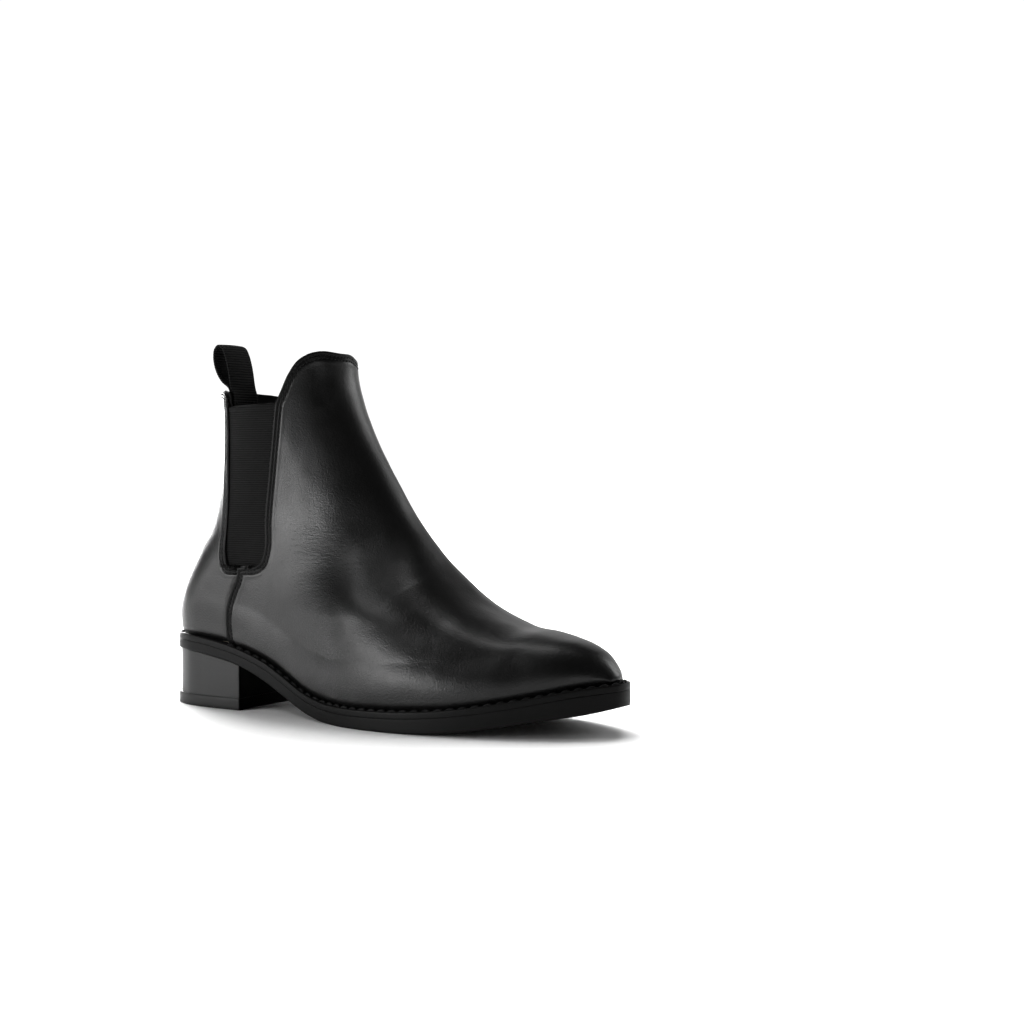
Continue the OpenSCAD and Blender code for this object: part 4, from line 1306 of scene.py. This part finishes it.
def cushion_piece():
    """Foam pad between the board and the sock liner, thin at its front edge."""
    angles = np.linspace(0, 2 * math.pi, 120, endpoint=False)
    rings = []
    profile = [(0.05, 0), (0.6, 0), (0.96, 0), (1, 0.12), (1, 0.3), (0.97, 0.75), (0.9, 0.92),
               (0.6, 1), (0.05, 1)]
    for share, z in profile:
        x = 38 + 27 * share * np.cos(angles)
        y = 17.5 * share * np.sin(angles)
        full = np.maximum(cushion_top(x) - 0.25, 0.3)
        rings.append(np.column_stack([x, y, curve(WELT_TOP, x) + BOARD + 0.1 + full * z]))
    obj = ring_body("heel_foam_pad", rings, foam())
    finish_piece(obj, "foam", "heel_cushion")


def dress_hidden_nodes():
    """Materials for the CAD nodes that stay as they are, inside the boot."""
    looks = {"toe_puff": stiffener(), "heel_counter": stiffener(), "insole_board": fibre_board(),
             "bottom_filler": cork(), "shank": steel("shank_steel", 0.45, 0.0),
             "shank_rivets": steel("rivet_steel", 0.5, 0.06), "heel_nails": steel("nail_steel", 0.4, 0.0),
             "heel_screw": steel("screw_steel", 0.5, 0.02)}
    for node, look in looks.items():
        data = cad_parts[node].data
        data.materials.clear()
        data.materials.append(look)


# ---------------------------------------------------------------- studio
def area_light(name, at, aim, size, power):
    data = bpy.data.lights.new(name, "AREA")
    data.shape = "RECTANGLE"
    data.size, data.size_y = size
    data.energy = power
    obj = bpy.data.objects.new(name, data)
    obj.location = at
    obj.rotation_euler = (Vector(aim) - Vector(at)).to_track_quat("-Z", "Y").to_euler()
    bpy.context.scene.collection.objects.link(obj)
    return obj


CAMERA_TURN = 32.3
CAMERA_RISE = 1.7
CAMERA_AT = (0.5510, -0.7474, 0.1367)


def camera_back():
    turn = math.radians(CAMERA_TURN)
    rise = math.radians(CAMERA_RISE)
    return Vector((math.sin(turn) * math.cos(rise), -math.cos(turn) * math.cos(rise), math.sin(rise)))


WHITE_WALL = 1.05  # strength of the backdrop
DIM_SIDE = 0.07


def light_tent():
    """World that is white behind the boot and along the horizon, and dim elsewhere."""
    world = bpy.data.worlds.new("light_tent")
    n = Graph(world)
    ahead = n.add("ShaderNodeTexCoord").outputs["Generated"]
    facing = n.add("ShaderNodeVectorMath", {0: ahead, 1: -camera_back()}, operation="DOT_PRODUCT")
    wall = n.range(facing.outputs["Value"], 0.7, 0.92, DIM_SIDE, WHITE_WALL, "SMOOTHSTEP")
    rise = n.add("ShaderNodeSeparateXYZ", {0: ahead}).outputs["Z"]
    horizon = n.range(rise, 0.045, 0.13, WHITE_WALL, 0, "SMOOTHSTEP")
    background = n.tree.nodes["Background"]
    n.feed(background.inputs["Strength"], n.math("MAXIMUM", wall, horizon))
    n.feed(background.inputs["Color"], (1, 1, 1, 1))
    bpy.context.scene.world = world


def studio():
    """White paper floor, and soft lights: strong ones left and behind, weak ones in front and above."""
    floor_data = bpy.data.meshes.new("floor")
    half = 60.0
    corners = [(-half, -half, 0), (half, -half, 0), (half, half, 0), (-half, half, 0)]
    floor_data.from_pydata(corners, [], [(0, 1, 2, 3)])
    floor = bpy.data.objects.new("floor", floor_data)
    floor_data.materials.append(paper_floor())
    bpy.context.scene.collection.objects.link(floor)
    area_light("left_back_softbox", (-1.3, 0.75, 0.5), (0, 0, 0.08), (0.9, 1.0), 48)
    area_light("left_front_panel", (-0.85, -1.3, 0.31), (0, 0, 0.08), (1.2, 0.58), 12)
    area_light("front_strip", (-0.52, -1.4, 0.24), (0, 0, 0.08), (0.42, 0.42), 5)
    area_light("upper_front_softbox", (-0.5, -0.8, 1.3), (0.0, 0, 0.06), (0.45, 0.45), 4)
    area_light("top_softbox", (-0.25, 0.2, 1.6), (0.02, 0, 0.05), (0.5, 0.5), 4)
    area_light("right_back_softbox", (0.75, 1.5, 0.8), (0.0, 0, 0.1), (0.7, 0.8), 9)
    wash = area_light("floor_wash", (-0.6, 1.2, 2.2), (0.1, 0.1, 0), (2.0, 2.0), 80)
    wash.visible_glossy = False
    light_tent()


def camera():
    """Low three-quarter view of the outer side, 0.94 m away."""
    data = bpy.data.cameras.new("camera")
    data.lens = 61.0
    data.sensor_width = 36.0
    cam = bpy.data.objects.new("camera", data)
    back = camera_back()
    right = Vector((-back.y, back.x, 0)).normalized()
    turned = Matrix((right, back.cross(right), back)).transposed().to_4x4()
    cam.matrix_world = Matrix.Translation(CAMERA_AT) @ turned
    bpy.context.scene.collection.objects.link(cam)
    bpy.context.scene.camera = cam


studio()
camera()
vamp_pieces()
quarter_pieces()
gore_piece(OUTER, "gore_lateral")
gore_piece(INNER, "gore_medial")
lining_pieces()
pull_tab_piece()
welt_piece()
outsole_piece()
heel_pieces()
welt_stitching()
sock_piece()
cushion_piece()
dress_hidden_nodes()

view = bpy.context.scene.view_settings
view.view_transform = "Standard"
view.gamma = 0.8
